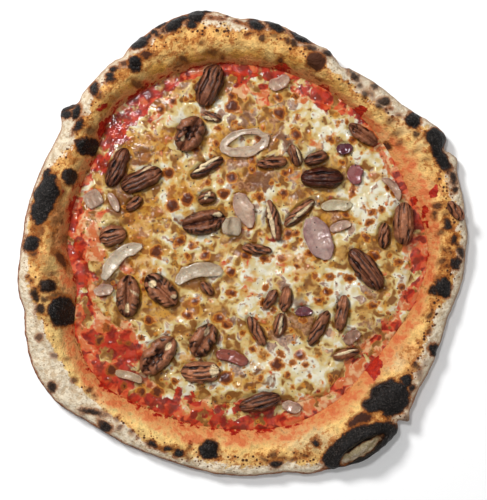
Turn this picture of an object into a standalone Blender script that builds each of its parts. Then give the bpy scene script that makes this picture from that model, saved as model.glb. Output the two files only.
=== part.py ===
"""A thin, hand-stretched pizza: a blistered rim, tomato sauce, melted cheese, pecans and red onion.

Metres, +Z up. The pizza lies on the plane z = 0 with the middle of its outline over the origin.
+X is to the right and +Y is away from someone who looks down on it. Tables are in millimetres and
in degrees counter-clockwise from +X, and MM turns their lengths into metres.
"""

import math
from collections import namedtuple

import bmesh
import bpy
import numpy as np
from mathutils import Matrix, Vector
from mathutils.bvhtree import BVHTree

MM = 0.001
GAP = 0.3 * MM

# Levels of the flat dough and of the layers on it
FLOOR = 3.0 * MM
SAUCE_THICK = 1.0 * MM
SAUCE_TOP = FLOOR + GAP + SAUCE_THICK
CHEESE_UNDER = SAUCE_TOP + 0.4 * MM
CHEESE_TOP = 6.9 * MM
SEAT_LEVEL = 5.8 * MM

# Rim, as equally spaced values round the pizza
EDGE_REACH = [147, 148, 149, 149, 140, 137, 135, 139, 145, 149, 155, 154, 149, 146, 144, 141, 142, 144,
              146, 151, 154, 161, 162, 156, 154, 152, 153, 154, 154, 159, 163, 160, 151, 148, 144, 147]
CREST_REACH = [133, 136, 139, 124, 125, 129, 134, 136, 137, 133, 128, 125,
               131, 137, 147, 148, 143, 141, 140, 141, 143, 140, 135, 132]
FOOT_REACH = [122, 115, 113, 114, 115, 116, 118, 120, 120, 121, 113, 114,
              116, 114, 127, 131, 126, 124, 123, 124, 121, 116, 117, 121]
CREST_HEIGHT = [14, 14, 14, 15, 20, 22, 22, 23, 22, 20, 17, 19,
                19, 21, 15, 13, 13, 13, 13, 14, 17, 17, 14, 14]
UNDERCUT = 9 * MM
BELLY_SHARE = 0.42
PUFF = 0.7

# Powers that round the section of the rim: its outer shoulder, and its puffed inner slope
SHOULDER_OUT, SHOULDER_UP = 0.9, 0.8
PUFF_LATE, PUFF_ROUND = 2.2, 0.7

# How far the cheese melted out, as equally spaced values, and how far each layer stays inside the one below
CHEESE_REACH = [108, 112, 113, 112, 112, 112, 106, 106, 112, 112, 117, 117, 113, 110, 108, 112, 114, 114,
                112, 107, 110, 104, 98, 106, 110, 108, 106, 104, 105, 112, 114, 106, 106, 110, 113, 113]
SAUCE_INSET = 2.5 * MM
CHEESE_INSET = 1.2 * MM

# Rounded edges of the layers: how wide they are, and the share of the thickness that is lost there
SAUCE_LIP, CHEESE_LIP = 2 * MM, 3 * MM
LIP_FALL = 0.85

# Soft unevenness: how high it is, how big its lumps are, and the seed of its random values
Lumps = namedtuple("Lumps", "height size seed")
RIM_LUMPS = [Lumps(2.2, 24, 3), Lumps(1.0, 9, 4)]
SAUCE_LUMPS = [Lumps(0.1, 10, 9)]
CHEESE_LUMPS = [Lumps(0.7, 17, 5), Lumps(0.3, 6, 6)]
EDGE_LUMPS = [Lumps(1.6, 7, 8)]
SAUCE_SAG = 0.15 * MM
EDGE_RING = 100 * MM

# The relief of the rim fades in over the first sixth of its rings and out over the last third
FADE_IN, FADE_OUT = 6, 3

# Size of the meshes before and after they are thinned
BEARINGS = 540
UNDER_RINGS, SHOULDER_RINGS, SLOPE_RINGS = 7, 26, 22
LAYER_RINGS = 70
FIRST_RING, RING_CROWDING = 0.01, 0.8
CRUST_TRIANGLES = 4500
SAUCE_TRIANGLES = 420
CHEESE_TRIANGLES = 2500
FLAT_TOLERANCE = 0.05 * MM

# Bearing, change of reach and half-width in degrees of the nicks and flaps in the outer edge
Nick = namedtuple("Nick", "bearing change half_width")
NICKS = [
    Nick(25, -3, 1.6), Nick(28.5, 2, 2), Nick(21.5, 3, 1.6), Nick(2, 1.5, 2.5), Nick(92, -2, 3),
    Nick(144, 5, 2.4), Nick(139.5, -2, 1.5), Nick(61, -2, 2), Nick(67, 2, 2), Nick(123, -2, 2),
    Nick(197, -2, 3), Nick(311, -4, 1.1), Nick(313, 3, 1), Nick(331, -2, 1.5), Nick(286, 2, 3),
]

# Raised blisters and bubbles of the rim: place, size, turn of the long way, and how far they rise
Blister = namedtuple("Blister", "x y long wide turn rise")
BLISTERS = [
    Blister(-129, 29, 34, 18, 68, 2.6), Blister(-119, -45, 22, 17, 80, 2.6),
    Blister(125, 66, 20, 16, 60, 2.6), Blister(-127, -13, 20, 18, 0, 2.4),
    Blister(97, -100, 27, 23, 40, 2.2), Blister(48, 120, 15, 13, 20, 2.2),
    Blister(-70, 119, 10, 8, 30, 1.8), Blister(-102, 64, 13, 12, 0, 2.0),
    Blister(131, -29, 12, 12, 0, 1.8), Blister(-67, 131, 12, 8, 20, 1.6),
    Blister(-46, 142, 13, 7, 25, 1.6), Blister(-31, 148, 12, 7, 5, 1.5),
    Blister(20, 142, 12, 8, 0, 1.6), Blister(39, 134, 13, 6, 0, 1.5),
    Blister(112, 81, 10, 9, 0, 1.7), Blister(92, 93, 8, 6, 0, 1.3),
    Blister(-139, 1, 9, 10, 0, 1.6), Blister(-127, -28, 11, 7, 20, 1.6),
    Blister(-22, -135, 11, 11, 0, 1.8), Blister(-49, -135, 10, 7, 0, 1.2),
    Blister(127, -71, 7, 8, 0, 1.4), Blister(139, -13, 6, 9, 0, 1.3),
    Blister(-114, 42, 10, 10, 0, 1.6), Blister(7, 144, 10, 6, 10, 1.2),
    Blister(-110, 86, 8, 9, 0, 1.3), Blister(96, 64, 11, 7, 10, 1.2),
    Blister(-84, 122, 10, 9, 0, 1.4), Blister(73, 110, 7, 5, 0, 1.1),
]

# The big bubble at the lower right, which burst and left a hole with a raised black lip
BUBBLE = Blister(78, -135, 56, 34, 33, 8.0)
BUBBLE_HOLE = Blister(78, -135, 33, 11, 33, -11.0)

# Distances, as shares of an oval, out to which a dent is full and at which it ends
HOLE_FULL, HOLE_END = 0.7, 1.25
SEAT_FULL, SEAT_END = 1.0, 1.4
SEAT_MARGIN = 3

Topping = namedtuple("Topping", "kind x y turn length width lean toward", defaults=(0, 0))
PECANS = [
    Topping("back", -22, 104, 68, 29, 17), Topping("front", -35, 72, 60, 25, 19),
    Topping("cut", -21, 83, -15, 13, 6), Topping("back", -83, 50, 65, 28, 12),
    Topping("back", -67, 42, 25, 29, 14), Topping("cut", -24, 50, 30, 25, 8),
    Topping("chunk", -72, 26, 40, 13, 7), Topping("back", -86, 5, 15, 18, 14),
    Topping("front", -76, -35, 88, 28, 16), Topping("front", -54, -31, -45, 27, 17),
    Topping("front", -26, 14, 12, 29, 16), Topping("cut", -24, 30, 20, 12, 9),
    Topping("front", -56, -74, 48, 31, 17), Topping("front", -26, -64, 60, 24, 16),
    Topping("back", -28, -85, 0, 26, 15), Topping("back", 11, -105, 15, 28, 12),
    Topping("chunk", 9, -4, -5, 20, 7), Topping("cut", 20, 15, -77, 28, 8),
    Topping("cut", 37, 20, 42, 26, 8), Topping("chunk", 19, 53, 8, 20, 8),
    Topping("chunk", 34, 58, -70, 15, 8), Topping("chunk", 48, 56, 20, 16, 9),
    Topping("back", 52, 43, 0, 28, 15), Topping("front", 79, 72, -35, 22, 10),
    Topping("back", 106, 13, 88, 28, 15), Topping("chunk", 93, 5, 85, 17, 8),
    Topping("back", 81, -17, -52, 33, 15), Topping("chunk", 65, -46, 80, 24, 9),
    Topping("cut", 50, -56, 62, 26, 8), Topping("chunk", 28, -37, 80, 17, 8),
    Topping("cut", 24, -54, 80, 16, 8), Topping("chunk", 18, -37, 62, 14, 7),
    Topping("cut", 9, -58, -60, 22, 8), Topping("cut", 68, -73, 15, 18, 7),
    Topping("chunk", -24, -30, -45, 11, 6), Topping("chunk", 139, 21, -50, 16, 8, 15, -5),
]
ONIONS = [
    Topping("loop", 1, 66, 13, 33, 18), Topping("petal", 1, 22, -68, 24, 12),
    Topping("square", -8, 11, -5, 13, 12, 26, -12), Topping("petal", 50, 3, -68, 30, 17),
    Topping("strip", 64, 11, 20, 14, 6), Topping("crescent", -30, -19, 12, 31, 10),
    Topping("crescent", -82, -10, 42, 33, 9), Topping("square", -99, 29, 30, 12, 11),
    Topping("strip", -85, 27, -60, 13, 5), Topping("petal", -92, -31, 10, 13, 8),
    Topping("strip", -75, -88, -20, 18, 6), Topping("strip", 62, 25, 3, 20, 7),
    Topping("petal", 74, 45, 80, 13, 10), Topping("petal", 67, 62, 10, 11, 8),
    Topping("strip", -7, -75, -15, 22, 8), Topping("petal", 40, -45, 5, 12, 6),
    Topping("petal", 32, -108, -20, 13, 8), Topping("strip", 24, 106, 25, 14, 8),
    Topping("crescent", 99, 37, -50, 18, 5), Topping("petal", 72, -62, 30, 13, 8),
]

# Cross-sections of the nuts, as shares of the half-width and of the height, from one side over the top
SECTIONS = {
    "back": [(1, 0.28), (0.88, 0.66), (0.60, 0.93), (0.44, 0.76), (0.25, 1.0), (-0.25, 1.0), (-0.44, 0.76),
             (-0.60, 0.93), (-0.88, 0.66), (-1, 0.28), (-0.55, 0), (0.55, 0)],
    "front": [(1, 0.34), (0.86, 0.80), (0.52, 1.0), (0.22, 0.78), (0.08, 0.48), (-0.08, 0.48),
              (-0.22, 0.78), (-0.52, 1.0), (-0.86, 0.80), (-1, 0.34), (-0.5, 0), (0.5, 0)],
    "cut": [(1, 0.30), (0.80, 0.78), (0.35, 1.0), (-0.55, 0.72), (-1, 0.25), (-0.45, 0), (0.5, 0)],
    "chunk": [(1, 0.35), (0.62, 0.92), (0.10, 0.80), (-0.45, 1.0), (-1, 0.40), (-0.5, 0), (0.5, 0)],
}
NUT_RISE = {"back": 0.50, "front": 0.46, "cut": 0.75, "chunk": 0.72}
NUT_STATIONS = {"back": 7, "front": 7, "cut": 5, "chunk": 5}

# Ends of the nuts: how late they narrow, how fast they get lower, and how high their foot and their tip lie
TIP_FULLNESS, TIP_SLOPE = 2.6, 0.7
TIP_LIFT, TIP_HEIGHT = 0.25, 0.35

# Onion pieces: bend of the whole piece in degrees, how soon it narrows to its ends, and rise of its edges
OnionShape = namedtuple("OnionShape", "bend fullness cup")
ONION_SHAPES = {
    "crescent": OnionShape(75, 3.0, 1.2), "petal": OnionShape(12, 2.2, 1.4),
    "square": OnionShape(0, 9.0, 0.7), "strip": OnionShape(30, 4.0, 0.9),
}
ONION_THICK = 1.6 * MM
ONION_STATIONS = 7
ONION_WAVE, WAVE_TURNS = 0.5 * MM, 5
END_WIDTH = 0.12

# Band of the onion loop: width where it is slim and where it is broad, and how far it is cupped
LOOP_SLIM, LOOP_BROAD = 4 * MM, 6.5 * MM
LOOP_CUP = 0.8 * MM
LOOP_STATIONS = 16

# Corners of a slice's section, as shares across it and up through its thickness
SLICE_CORNERS = ((1, 0), (0, 0), (-1, 0), (-1, 1), (0, 1), (1, 1))

# Toppings are lowered from here, probed on a grid as fine as this, and stop this far above what carries them
DROP_LEVEL = 60 * MM
PROBE_STEP = 0.8 * MM
REST_GAP = 1.15 * GAP


def around(values, bearing):
    """A smooth closed curve through equally spaced values, read at bearings in radians."""
    values = np.asarray(values, float)
    place = bearing / math.tau * len(values) % len(values)
    first = np.floor(place).astype(int)
    t = place - first
    a, b, c, d = (values[(first + step) % len(values)] for step in (-1, 0, 1, 2))
    return 0.5 * (2 * b + (c - a) * t + (2 * a - 5 * b + 4 * c - d) * t**2 + (3 * b - a - 3 * c + d) * t**3)


def smooth(t):
    t = np.clip(t, 0, 1)
    return t * t * (3 - 2 * t)


def lattice_noise(points, size, seed):
    """Smooth noise from -1 to 1: random values at the corners of cells of the given size, blended."""
    draw = np.random.default_rng(seed)
    table = draw.uniform(-1, 1, 4096)
    mix = draw.integers(1, 4096, 3) * 2 + 1
    cell = np.floor(points / size).astype(int)
    blend = smooth(points / size - cell)
    total = np.zeros(points.shape[:-1])
    for corner in np.ndindex(2, 2, 2):
        share = np.prod(np.where(corner, blend, 1 - blend), axis=-1)
        total += share * table[((cell + corner) * mix).sum(axis=-1) % len(table)]
    return total


def uneven(points, layers):
    """Height in metres of layers of soft lumps at each point."""
    return sum(lumps.height * MM * lattice_noise(points, lumps.size * MM, lumps.seed) for lumps in layers)


def flat_points(x, y):
    return np.stack([x, y, 0 * x], axis=-1)


def edge_reach(bearing):
    """Distance from the middle to the outer edge, with its nicks and flaps."""
    reach = around(EDGE_REACH, bearing)
    for nick in NICKS:
        off = (np.degrees(bearing) - nick.bearing + 180) % 360 - 180
        reach = reach + nick.change * np.exp(-((off / nick.half_width) ** 2))
    return reach * MM


def apart(x, y, spot):
    """Distance from a spot's middle, 1 at its oval edge."""
    turn = math.radians(spot.turn)
    dx, dy = x - spot.x * MM, y - spot.y * MM
    along = dx * math.cos(turn) + dy * math.sin(turn)
    across = dy * math.cos(turn) - dx * math.sin(turn)
    return np.hypot(along / (spot.long * MM / 2), across / (spot.wide * MM / 2))


def dome(distance):
    return np.clip(1 - distance**2, 0, 1) ** 1.5


def dent(distance, full, end):
    """1 where a dent is full and 0 where it has ended."""
    return smooth((end - distance) / (end - full))


def rim_section(bearing):
    """Rings of (reach, height) from the bottom edge round the outside and over the crest to the floor."""
    edge = edge_reach(bearing)
    crest = around(CREST_REACH, bearing) * MM
    foot = around(FOOT_REACH, bearing) * MM
    top = around(CREST_HEIGHT, bearing) * MM
    belly = top * BELLY_SHARE
    base = edge - UNDERCUT
    rings = []
    for t in np.linspace(0, math.pi / 2, UNDER_RINGS, endpoint=False):
        rings.append((base + (edge - base) * math.sin(t), belly * (1 - math.cos(t))))
    for t in np.linspace(0, math.pi / 2, SHOULDER_RINGS, endpoint=False):
        rings.append((crest + (edge - crest) * math.cos(t) ** SHOULDER_OUT,
                      belly + (top - belly) * math.sin(t) ** SHOULDER_UP))
    for t in np.linspace(0, 1, SLOPE_RINGS):
        puffed = (1 - t**PUFF_LATE) ** PUFF_ROUND
        height = PUFF * puffed + (1 - PUFF) * (1 - smooth(t))
        rings.append((crest + (foot - crest) * t, FLOOR + (top - FLOOR) * height))
    return np.array(rings)


def rim_relief(points):
    """How far each point of the rim stands proud of its plain section."""
    x, y = points[..., 0], points[..., 1]
    proud = uneven(points, RIM_LUMPS)
    for spot in BLISTERS + [BUBBLE]:
        proud = proud + spot.rise * MM * dome(apart(x, y, spot))
    return proud + BUBBLE_HOLE.rise * MM * dent(apart(x, y, BUBBLE_HOLE), HOLE_FULL, HOLE_END)


def crust_rows():
    bearing = np.linspace(0, math.tau, BEARINGS, endpoint=False)
    rings = rim_section(bearing)
    reach, height = rings[:, 0], rings[:, 1]
    rows = np.stack([reach * np.cos(bearing), reach * np.sin(bearing), height], axis=-1)
    fade = smooth(np.linspace(0, FADE_IN, len(rows))) * smooth(np.linspace(FADE_OUT, 0, len(rows)))
    rows[..., 2] += fade[:, None] * rim_relief(rows) * smooth((height - FLOOR / 2) / FLOOR)
    return rows


def layer_rows(reach, top, under, lip):
    """Rings of a flat-bottomed layer: out along its top from near the middle, then down its rounded lip."""
    bearing = np.linspace(0, math.tau, BEARINGS // 2, endpoint=False)
    limit = reach(bearing)
    rows = []
    for share in np.linspace(FIRST_RING, 1, LAYER_RINGS) ** RING_CROWDING:
        x, y = limit * share * np.cos(bearing), limit * share * np.sin(bearing)
        inward = np.clip((1 - share) * limit / lip, 0, 1)
        fall = 1 - np.sqrt(1 - (1 - inward) ** 2)
        height = top(x, y)
        rows.append(np.stack([x, y, under + (height - under) * (1 - LIP_FALL * fall)], axis=-1))
    rim = rows[-1].copy()
    rim[:, 2] = under
    return np.array(rows + [rim])


def sauce_reach(bearing):
    return around(FOOT_REACH, bearing) * MM - SAUCE_INSET


def sauce_top(x, y):
    return SAUCE_TOP - SAUCE_SAG + uneven(flat_points(x, y), SAUCE_LUMPS)


def cheese_reach(bearing):
    """The uneven edge that the cheese melted out to, held just inside the sauce."""
    ring = flat_points(np.cos(bearing), np.sin(bearing)) * EDGE_RING
    reach = around(CHEESE_REACH, bearing) * MM + uneven(ring, EDGE_LUMPS)
    return np.minimum(reach, sauce_reach(bearing) - CHEESE_INSET)


def cheese_top(x, y):
    """Lumpy melted cheese, pressed flat where a topping lies on it."""
    height = CHEESE_TOP + uneven(flat_points(x, y), CHEESE_LUMPS)
    for piece in PECANS + ONIONS:
        seat = Blister(piece.x, piece.y, piece.length + SEAT_MARGIN, piece.width + SEAT_MARGIN, piece.turn, 0)
        height = height + (SEAT_LEVEL - height) * dent(apart(x, y, seat), SEAT_FULL, SEAT_END)
    return height


def material(name, colour, roughness, metallic=0.0):
    made = bpy.data.materials.new(name)
    made.use_nodes = True
    surface = made.node_tree.nodes["Principled BSDF"]
    surface.inputs["Base Color"].default_value = (*colour, 1)
    surface.inputs["Roughness"].default_value = roughness
    surface.inputs["Metallic"].default_value = metallic
    return made


def solid(name, rows, ends, finish):
    """An object over closed rings of points. Each end is a cap or, where given, a tip; no ends make a loop."""
    count, sides = rows.shape[:2]
    mesh = bmesh.new()
    rings = [[mesh.verts.new(point) for point in row] for row in rows]
    for near, far in zip(rings, rings[1:] if ends else rings[1:] + rings[:1]):
        for side in range(sides):
            after = (side + 1) % sides
            mesh.faces.new((near[side], near[after], far[after], far[side]))
    for ring, tip in zip((rings[0], rings[count - 1]), ends or ()):
        if tip is None:
            mesh.faces.new(ring)
            continue
        point = mesh.verts.new(tip)
        for side in range(sides):
            mesh.faces.new((ring[side], ring[(side + 1) % sides], point))
    bmesh.ops.recalc_face_normals(mesh, faces=mesh.faces)
    data = bpy.data.meshes.new(name)
    mesh.to_mesh(data)
    mesh.free()
    data.materials.append(finish)
    data.shade_smooth()
    made = bpy.data.objects.new(name, data)
    bpy.context.scene.collection.objects.link(made)
    return made


def thin_out(made, triangles, flats):
    """Collapses a fine mesh to about the given number of triangles and keeps its flat faces flat."""
    made.data.calc_loop_triangles()
    modifier = made.modifiers.new("Thin out", "DECIMATE")
    modifier.ratio = triangles / len(made.data.loop_triangles)
    evaluated = made.evaluated_get(bpy.context.evaluated_depsgraph_get())
    thinned = bpy.data.meshes.new_from_object(evaluated)
    made.modifiers.clear()
    made.data = thinned
    for vertex in thinned.vertices:
        for level in flats:
            if abs(vertex.co.z - level) < FLAT_TOLERANCE:
                vertex.co.z = level


def nut_rows(piece):
    """Rings along a pecan half or a broken piece of one, and its two tips."""
    section = np.array(SECTIONS[piece.kind])
    length, width = piece.length * MM, piece.width * MM
    rise = width * NUT_RISE[piece.kind]
    along = -np.cos(np.linspace(0, math.pi, NUT_STATIONS[piece.kind] + 2))[1:-1]
    rows = []
    for share in along:
        full = (1 - abs(share) ** TIP_FULLNESS) ** 0.5
        lift = TIP_LIFT * rise * (1 - full)
        across = section[:, 0] * width / 2 * full
        up = lift + section[:, 1] * (rise - lift) * full**TIP_SLOPE
        rows.append(np.stack([np.full(len(section), share * length / 2), across, up], axis=-1))
    tips = [(end * length / 2, 0, TIP_HEIGHT * rise) for end in (-1, 1)]
    return np.array(rows), tips


def slice_ring(middle, sideways, half, height, cup):
    """The section of a slice of onion: six corners, with the long edges turned up by the cup."""
    return [(*(middle + sideways * across * half), height + cup * abs(across) + level * ONION_THICK)
            for across, level in SLICE_CORNERS]


def onion_rows(piece):
    """Rings along a limp slice of onion, which curves in plan and turns up at its long edges."""
    shape = ONION_SHAPES[piece.kind]
    length, width = piece.length * MM, piece.width * MM
    bend = math.radians(shape.bend)
    rows = []
    for share in np.linspace(-1, 1, ONION_STATIONS):
        turn = bend * share / 2
        half = width / 2 * max(1 - abs(share) ** shape.fullness, END_WIDTH) ** 0.5
        middle = np.array([length / 2 * share, 0]) if not bend else (
            length / (2 * math.sin(bend / 2)) * np.array([math.sin(turn), math.cos(turn) - 1]))
        sideways = np.array([math.sin(turn), math.cos(turn)])
        wave = ONION_WAVE * (1 + math.sin(WAVE_TURNS * share + piece.x))
        rows.append(slice_ring(middle, sideways, half, wave, shape.cup * MM * half / (width / 2)))
    rows = np.array(rows)
    rows[..., 1] -= (rows[..., 1].max() + rows[..., 1].min()) / 2
    return rows


def loop_rows(piece):
    """Rings round a whole slice of onion, an oval band that is broadest on its -y side."""
    rows = []
    for turn in np.linspace(0, math.tau, LOOP_STATIONS, endpoint=False):
        outer = np.array([math.cos(turn) * piece.length, math.sin(turn) * piece.width]) * MM / 2
        sideways = np.array([math.cos(turn) / piece.length, math.sin(turn) / piece.width])
        sideways /= np.linalg.norm(sideways)
        half = (LOOP_SLIM + (LOOP_BROAD - LOOP_SLIM) * (1 - math.sin(turn)) / 2) / 2
        wave = ONION_WAVE * (1 + math.sin(2 * turn))
        rows.append(slice_ring(outer - sideways * half, sideways, half, wave, LOOP_CUP))
    return np.array(rows)


def turned(piece):
    """The rotation of a topping: about the upright by its turn, then leaning towards a bearing."""
    toward = math.radians(piece.toward)
    hinge = Vector((-math.sin(toward), math.cos(toward), 0))
    return Matrix.Rotation(math.radians(piece.lean), 3, hinge) @ Matrix.Rotation(math.radians(piece.turn), 3, "Z")


def tree_of(made):
    data = made.data
    data.calc_loop_triangles()
    points = [vertex.co.copy() for vertex in data.vertices]
    return BVHTree.FromPolygons(points, [triangle.vertices[:] for triangle in data.loop_triangles]), points


def lower_onto(made, piece, supports):
    """Moves a topping straight down until it lies just clear of what carries it."""
    rotation = turned(piece)
    for vertex in made.data.vertices:
        vertex.co = rotation @ vertex.co + Vector((piece.x * MM, piece.y * MM, DROP_LEVEL))
    tree, points = tree_of(made)
    low_x, high_x = min(p.x for p in points), max(p.x for p in points)
    low_y, high_y = min(p.y for p in points), max(p.y for p in points)
    spots = [(p.x, p.y) for p in points]
    spots += [(x, y) for x in np.arange(low_x, high_x, PROBE_STEP) for y in np.arange(low_y, high_y, PROBE_STEP)]
    for _, others in supports:
        spots += [(p.x, p.y) for p in others if low_x < p.x < high_x and low_y < p.y < high_y]
    least = DROP_LEVEL
    for x, y in spots:
        under = tree.ray_cast(Vector((x, y, -1)), Vector((0, 0, 1)))[0]
        if under is None:
            continue
        for support, _ in supports:
            hit = support.ray_cast(Vector((x, y, under.z)), Vector((0, 0, -1)))[0]
            if hit is not None:
                least = min(least, under.z - hit.z)
    for vertex in made.data.vertices:
        vertex.co.z -= least - REST_GAP


def centre_over_origin(pieces, crust):
    """Shifts all pieces so that the middle of the crust's outline is over the origin."""
    points = np.array([vertex.co for vertex in crust.data.vertices])
    middle = (points.min(axis=0) + points.max(axis=0)) / 2
    for made in pieces:
        made.data.transform(Matrix.Translation((-middle[0], -middle[1], 0)))


def layer(name, reach, top, under, lip, triangles, finish):
    """A thinned, flat-bottomed layer with a point in the middle of its top."""
    zero = np.zeros(1)
    middle = (0, 0, float(top(zero, zero)[0]))
    made = solid(name, layer_rows(reach, top, under, lip), (middle, None), finish)
    thin_out(made, triangles, (under,))
    return made


def build():
    for old in list(bpy.data.objects):
        bpy.data.objects.remove(old)
    baked = material("Baked dough", (0.58, 0.33, 0.12), 0.8)
    red = material("Tomato sauce", (0.42, 0.05, 0.02), 0.35)
    melted = material("Melted cheese", (0.75, 0.56, 0.28), 0.35)
    brown = material("Pecan", (0.11, 0.04, 0.02), 0.55)
    lilac = material("Red onion", (0.42, 0.27, 0.22), 0.3)

    crust = solid("crust", crust_rows(), (None, None), baked)
    thin_out(crust, CRUST_TRIANGLES, (0, FLOOR))
    sauce = layer("sauce", sauce_reach, sauce_top, FLOOR + GAP, SAUCE_LIP, SAUCE_TRIANGLES, red)
    cheese = layer("cheese", cheese_reach, cheese_top, CHEESE_UNDER, CHEESE_LIP, CHEESE_TRIANGLES, melted)

    supports = [tree_of(made) for made in (crust, sauce, cheese)]
    for number, piece in enumerate(PECANS, 1):
        rows, tips = nut_rows(piece)
        nut = solid(f"pecan_{number:02}", rows, tips, brown)
        lower_onto(nut, piece, supports)
        supports.append(tree_of(nut))
    for number, piece in enumerate(ONIONS, 1):
        name = f"onion_{number:02}"
        if piece.kind == "loop":
            onion = solid(name, loop_rows(piece), None, lilac)
        else:
            onion = solid(name, onion_rows(piece), (None, None), lilac)
        lower_onto(onion, piece, supports)
        supports.append(tree_of(onion))
    centre_over_origin(bpy.context.scene.collection.objects, crust)


build()
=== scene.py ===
"""Looks of a thin, hand-stretched pizza with pecans and red onion, seen from straight above.

Metres, +Z up. The tables are in millimetres and in degrees counter-clockwise from +X, and MM turns
their lengths into metres. Their zero is the point that SHIFT moves to its place on the CAD frame.
"""

import math
from collections import namedtuple

import bpy
import numpy as np
from mathutils import Matrix, Vector
from mathutils.bvhtree import BVHTree


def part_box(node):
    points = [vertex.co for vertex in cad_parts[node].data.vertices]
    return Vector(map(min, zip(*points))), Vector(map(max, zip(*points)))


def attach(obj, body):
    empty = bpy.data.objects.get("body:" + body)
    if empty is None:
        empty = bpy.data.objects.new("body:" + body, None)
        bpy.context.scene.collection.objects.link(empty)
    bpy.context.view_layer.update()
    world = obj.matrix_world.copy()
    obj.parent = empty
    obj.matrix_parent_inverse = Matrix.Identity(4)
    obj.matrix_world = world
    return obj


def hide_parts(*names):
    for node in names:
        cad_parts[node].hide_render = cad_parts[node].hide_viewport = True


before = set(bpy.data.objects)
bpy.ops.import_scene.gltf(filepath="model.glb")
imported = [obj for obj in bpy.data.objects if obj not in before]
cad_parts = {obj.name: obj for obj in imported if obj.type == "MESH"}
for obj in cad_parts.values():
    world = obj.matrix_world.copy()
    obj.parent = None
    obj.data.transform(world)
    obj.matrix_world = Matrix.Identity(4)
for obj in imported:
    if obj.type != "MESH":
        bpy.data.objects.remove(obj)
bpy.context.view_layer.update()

MM = 0.001

Nick = namedtuple("Nick", "bearing change half_width")
Spot = namedtuple("Spot", "x y long wide level turn", defaults=(1, 0))
Topping = namedtuple("Topping", "kind x y turn length width lean toward", defaults=(0, 0))


def spots(text):
    """Ovals from rows of text: place, size, how far they rise or how strong they are, and the turn of their
    long way. A row may leave out a turn of 0, and a level of 1 before it."""
    return [Spot(*map(float, row.split())) for row in text.split(";") if row.strip()]


def toppings(text):
    """Toppings from rows of text: kind, place, turn, length, width, and how far and which way they lean."""
    rows = [row.split() for row in text.split(";")]
    return [Topping(kind, *map(float, numbers)) for kind, *numbers in rows]


# Levels of the flat dough, of the layers on it, and of the seats that the toppings press into the cheese
FLOOR = 3.0 * MM
GAP = 0.3 * MM
SAUCE_UNDER = FLOOR + GAP / 2
SAUCE_THICK = 1.0 * MM
SAUCE_TOP = FLOOR + GAP + SAUCE_THICK
CHEESE_UNDER = SAUCE_TOP - 0.2 * MM
CHEESE_TOP = 6.9 * MM
SEAT_LEVEL = 5.8 * MM

# Rim, as equally spaced values round the pizza
EDGE_REACH = [147, 148, 149, 149, 140, 137, 135, 139, 145, 149, 155, 154, 149, 146, 144, 141, 142, 144,
              146, 151, 154, 161, 162, 156, 154, 152, 153, 154, 154, 159, 163, 160, 151, 148, 144, 147]
CREST_REACH = [133, 136, 139, 124, 125, 129, 134, 136, 137, 133, 128, 125,
               131, 137, 147, 148, 143, 141, 140, 141, 143, 140, 135, 132]
FOOT_REACH = [122, 115, 113, 114, 115, 116, 118, 120, 120, 121, 113, 114,
              116, 114, 127, 131, 126, 124, 123, 124, 121, 116, 117, 121]
CREST_HEIGHT = [14, 14, 14, 15, 20, 22, 22, 23, 22, 20, 17, 19,
                19, 21, 15, 13, 13, 13, 13, 14, 17, 17, 14, 14]

# How far the base stays inside the edge, level of the edge as a share of the crest's, and how full the inner
# slope is
UNDERCUT = 9 * MM
BELLY_SHARE = 0.42
PUFF = 0.7

# Edges of the layers: how far the cheese and the sauce reach, how far the cheese stays inside the foot of the
# rim, how far the sauce runs under its slope, and how broad their rounded lips are
CHEESE_REACH = [108, 112, 113, 112, 112, 112, 106, 106, 112, 112, 117, 117, 113, 110, 108, 112, 114, 114,
                112, 107, 110, 104, 98, 106, 110, 108, 106, 104, 105, 112, 114, 106, 106, 110, 113, 113]
CHEESE_INSET, SAUCE_OVERLAP = 3.7 * MM, 2.2 * MM
CHEESE_LIP, SAUCE_LIP = 9 * MM, 0.6 * MM

# Points in the meshes: round the pizza, up and over the rim, and from the middle of a layer to its edge
BEARINGS, LAYER_BEARINGS = 1060, 620
UNDER_RINGS, SHOULDER_RINGS, SLOPE_RINGS = 6, 38, 34
CHEESE_RINGS, SAUCE_RINGS = 132, 34

# Noise of the surfaces and of their edges, and of the patches on the rim: layers of height, size and seed
RIM_LUMPS = [(2.2, 24, 3), (1.0, 9, 4)]
RIM_GRAIN = [(0.5, 4, 31), (0.25, 1.9, 32)]
RIM_PATCHES = [(1, 6, 33), (0.6, 2.5, 34)]
CHEESE_LUMPS = [(0.7, 17, 5), (0.3, 6, 6), (0.35, 4, 51), (0.08, 1.8, 52)]
CHEESE_EDGE = [(1.6, 7, 8)]
SAUCE_LUMPS = [(0.35, 7, 41), (0.1, 2.2, 42)]
SAUCE_EDGE = [(1, 6, 43)]
CHAR_RISE, TOAST_RISE = 0.5 * MM, 0.4 * MM

# Bearing, change of reach and half-width in degrees of the nicks and flaps in the outer edge
NICKS = [
    Nick(25, -3, 1.6), Nick(28.5, 2, 2), Nick(21.5, 3, 1.6), Nick(2, 1.5, 2.5), Nick(92, -2, 3),
    Nick(144, 5, 2.4), Nick(139.5, -2, 1.5), Nick(61, -2, 2), Nick(67, 2, 2), Nick(123, -2, 2),
    Nick(197, -2, 3), Nick(311, -4, 1.1), Nick(313, 3, 1), Nick(331, -2, 1.5), Nick(286, 2, 3),
]

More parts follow.
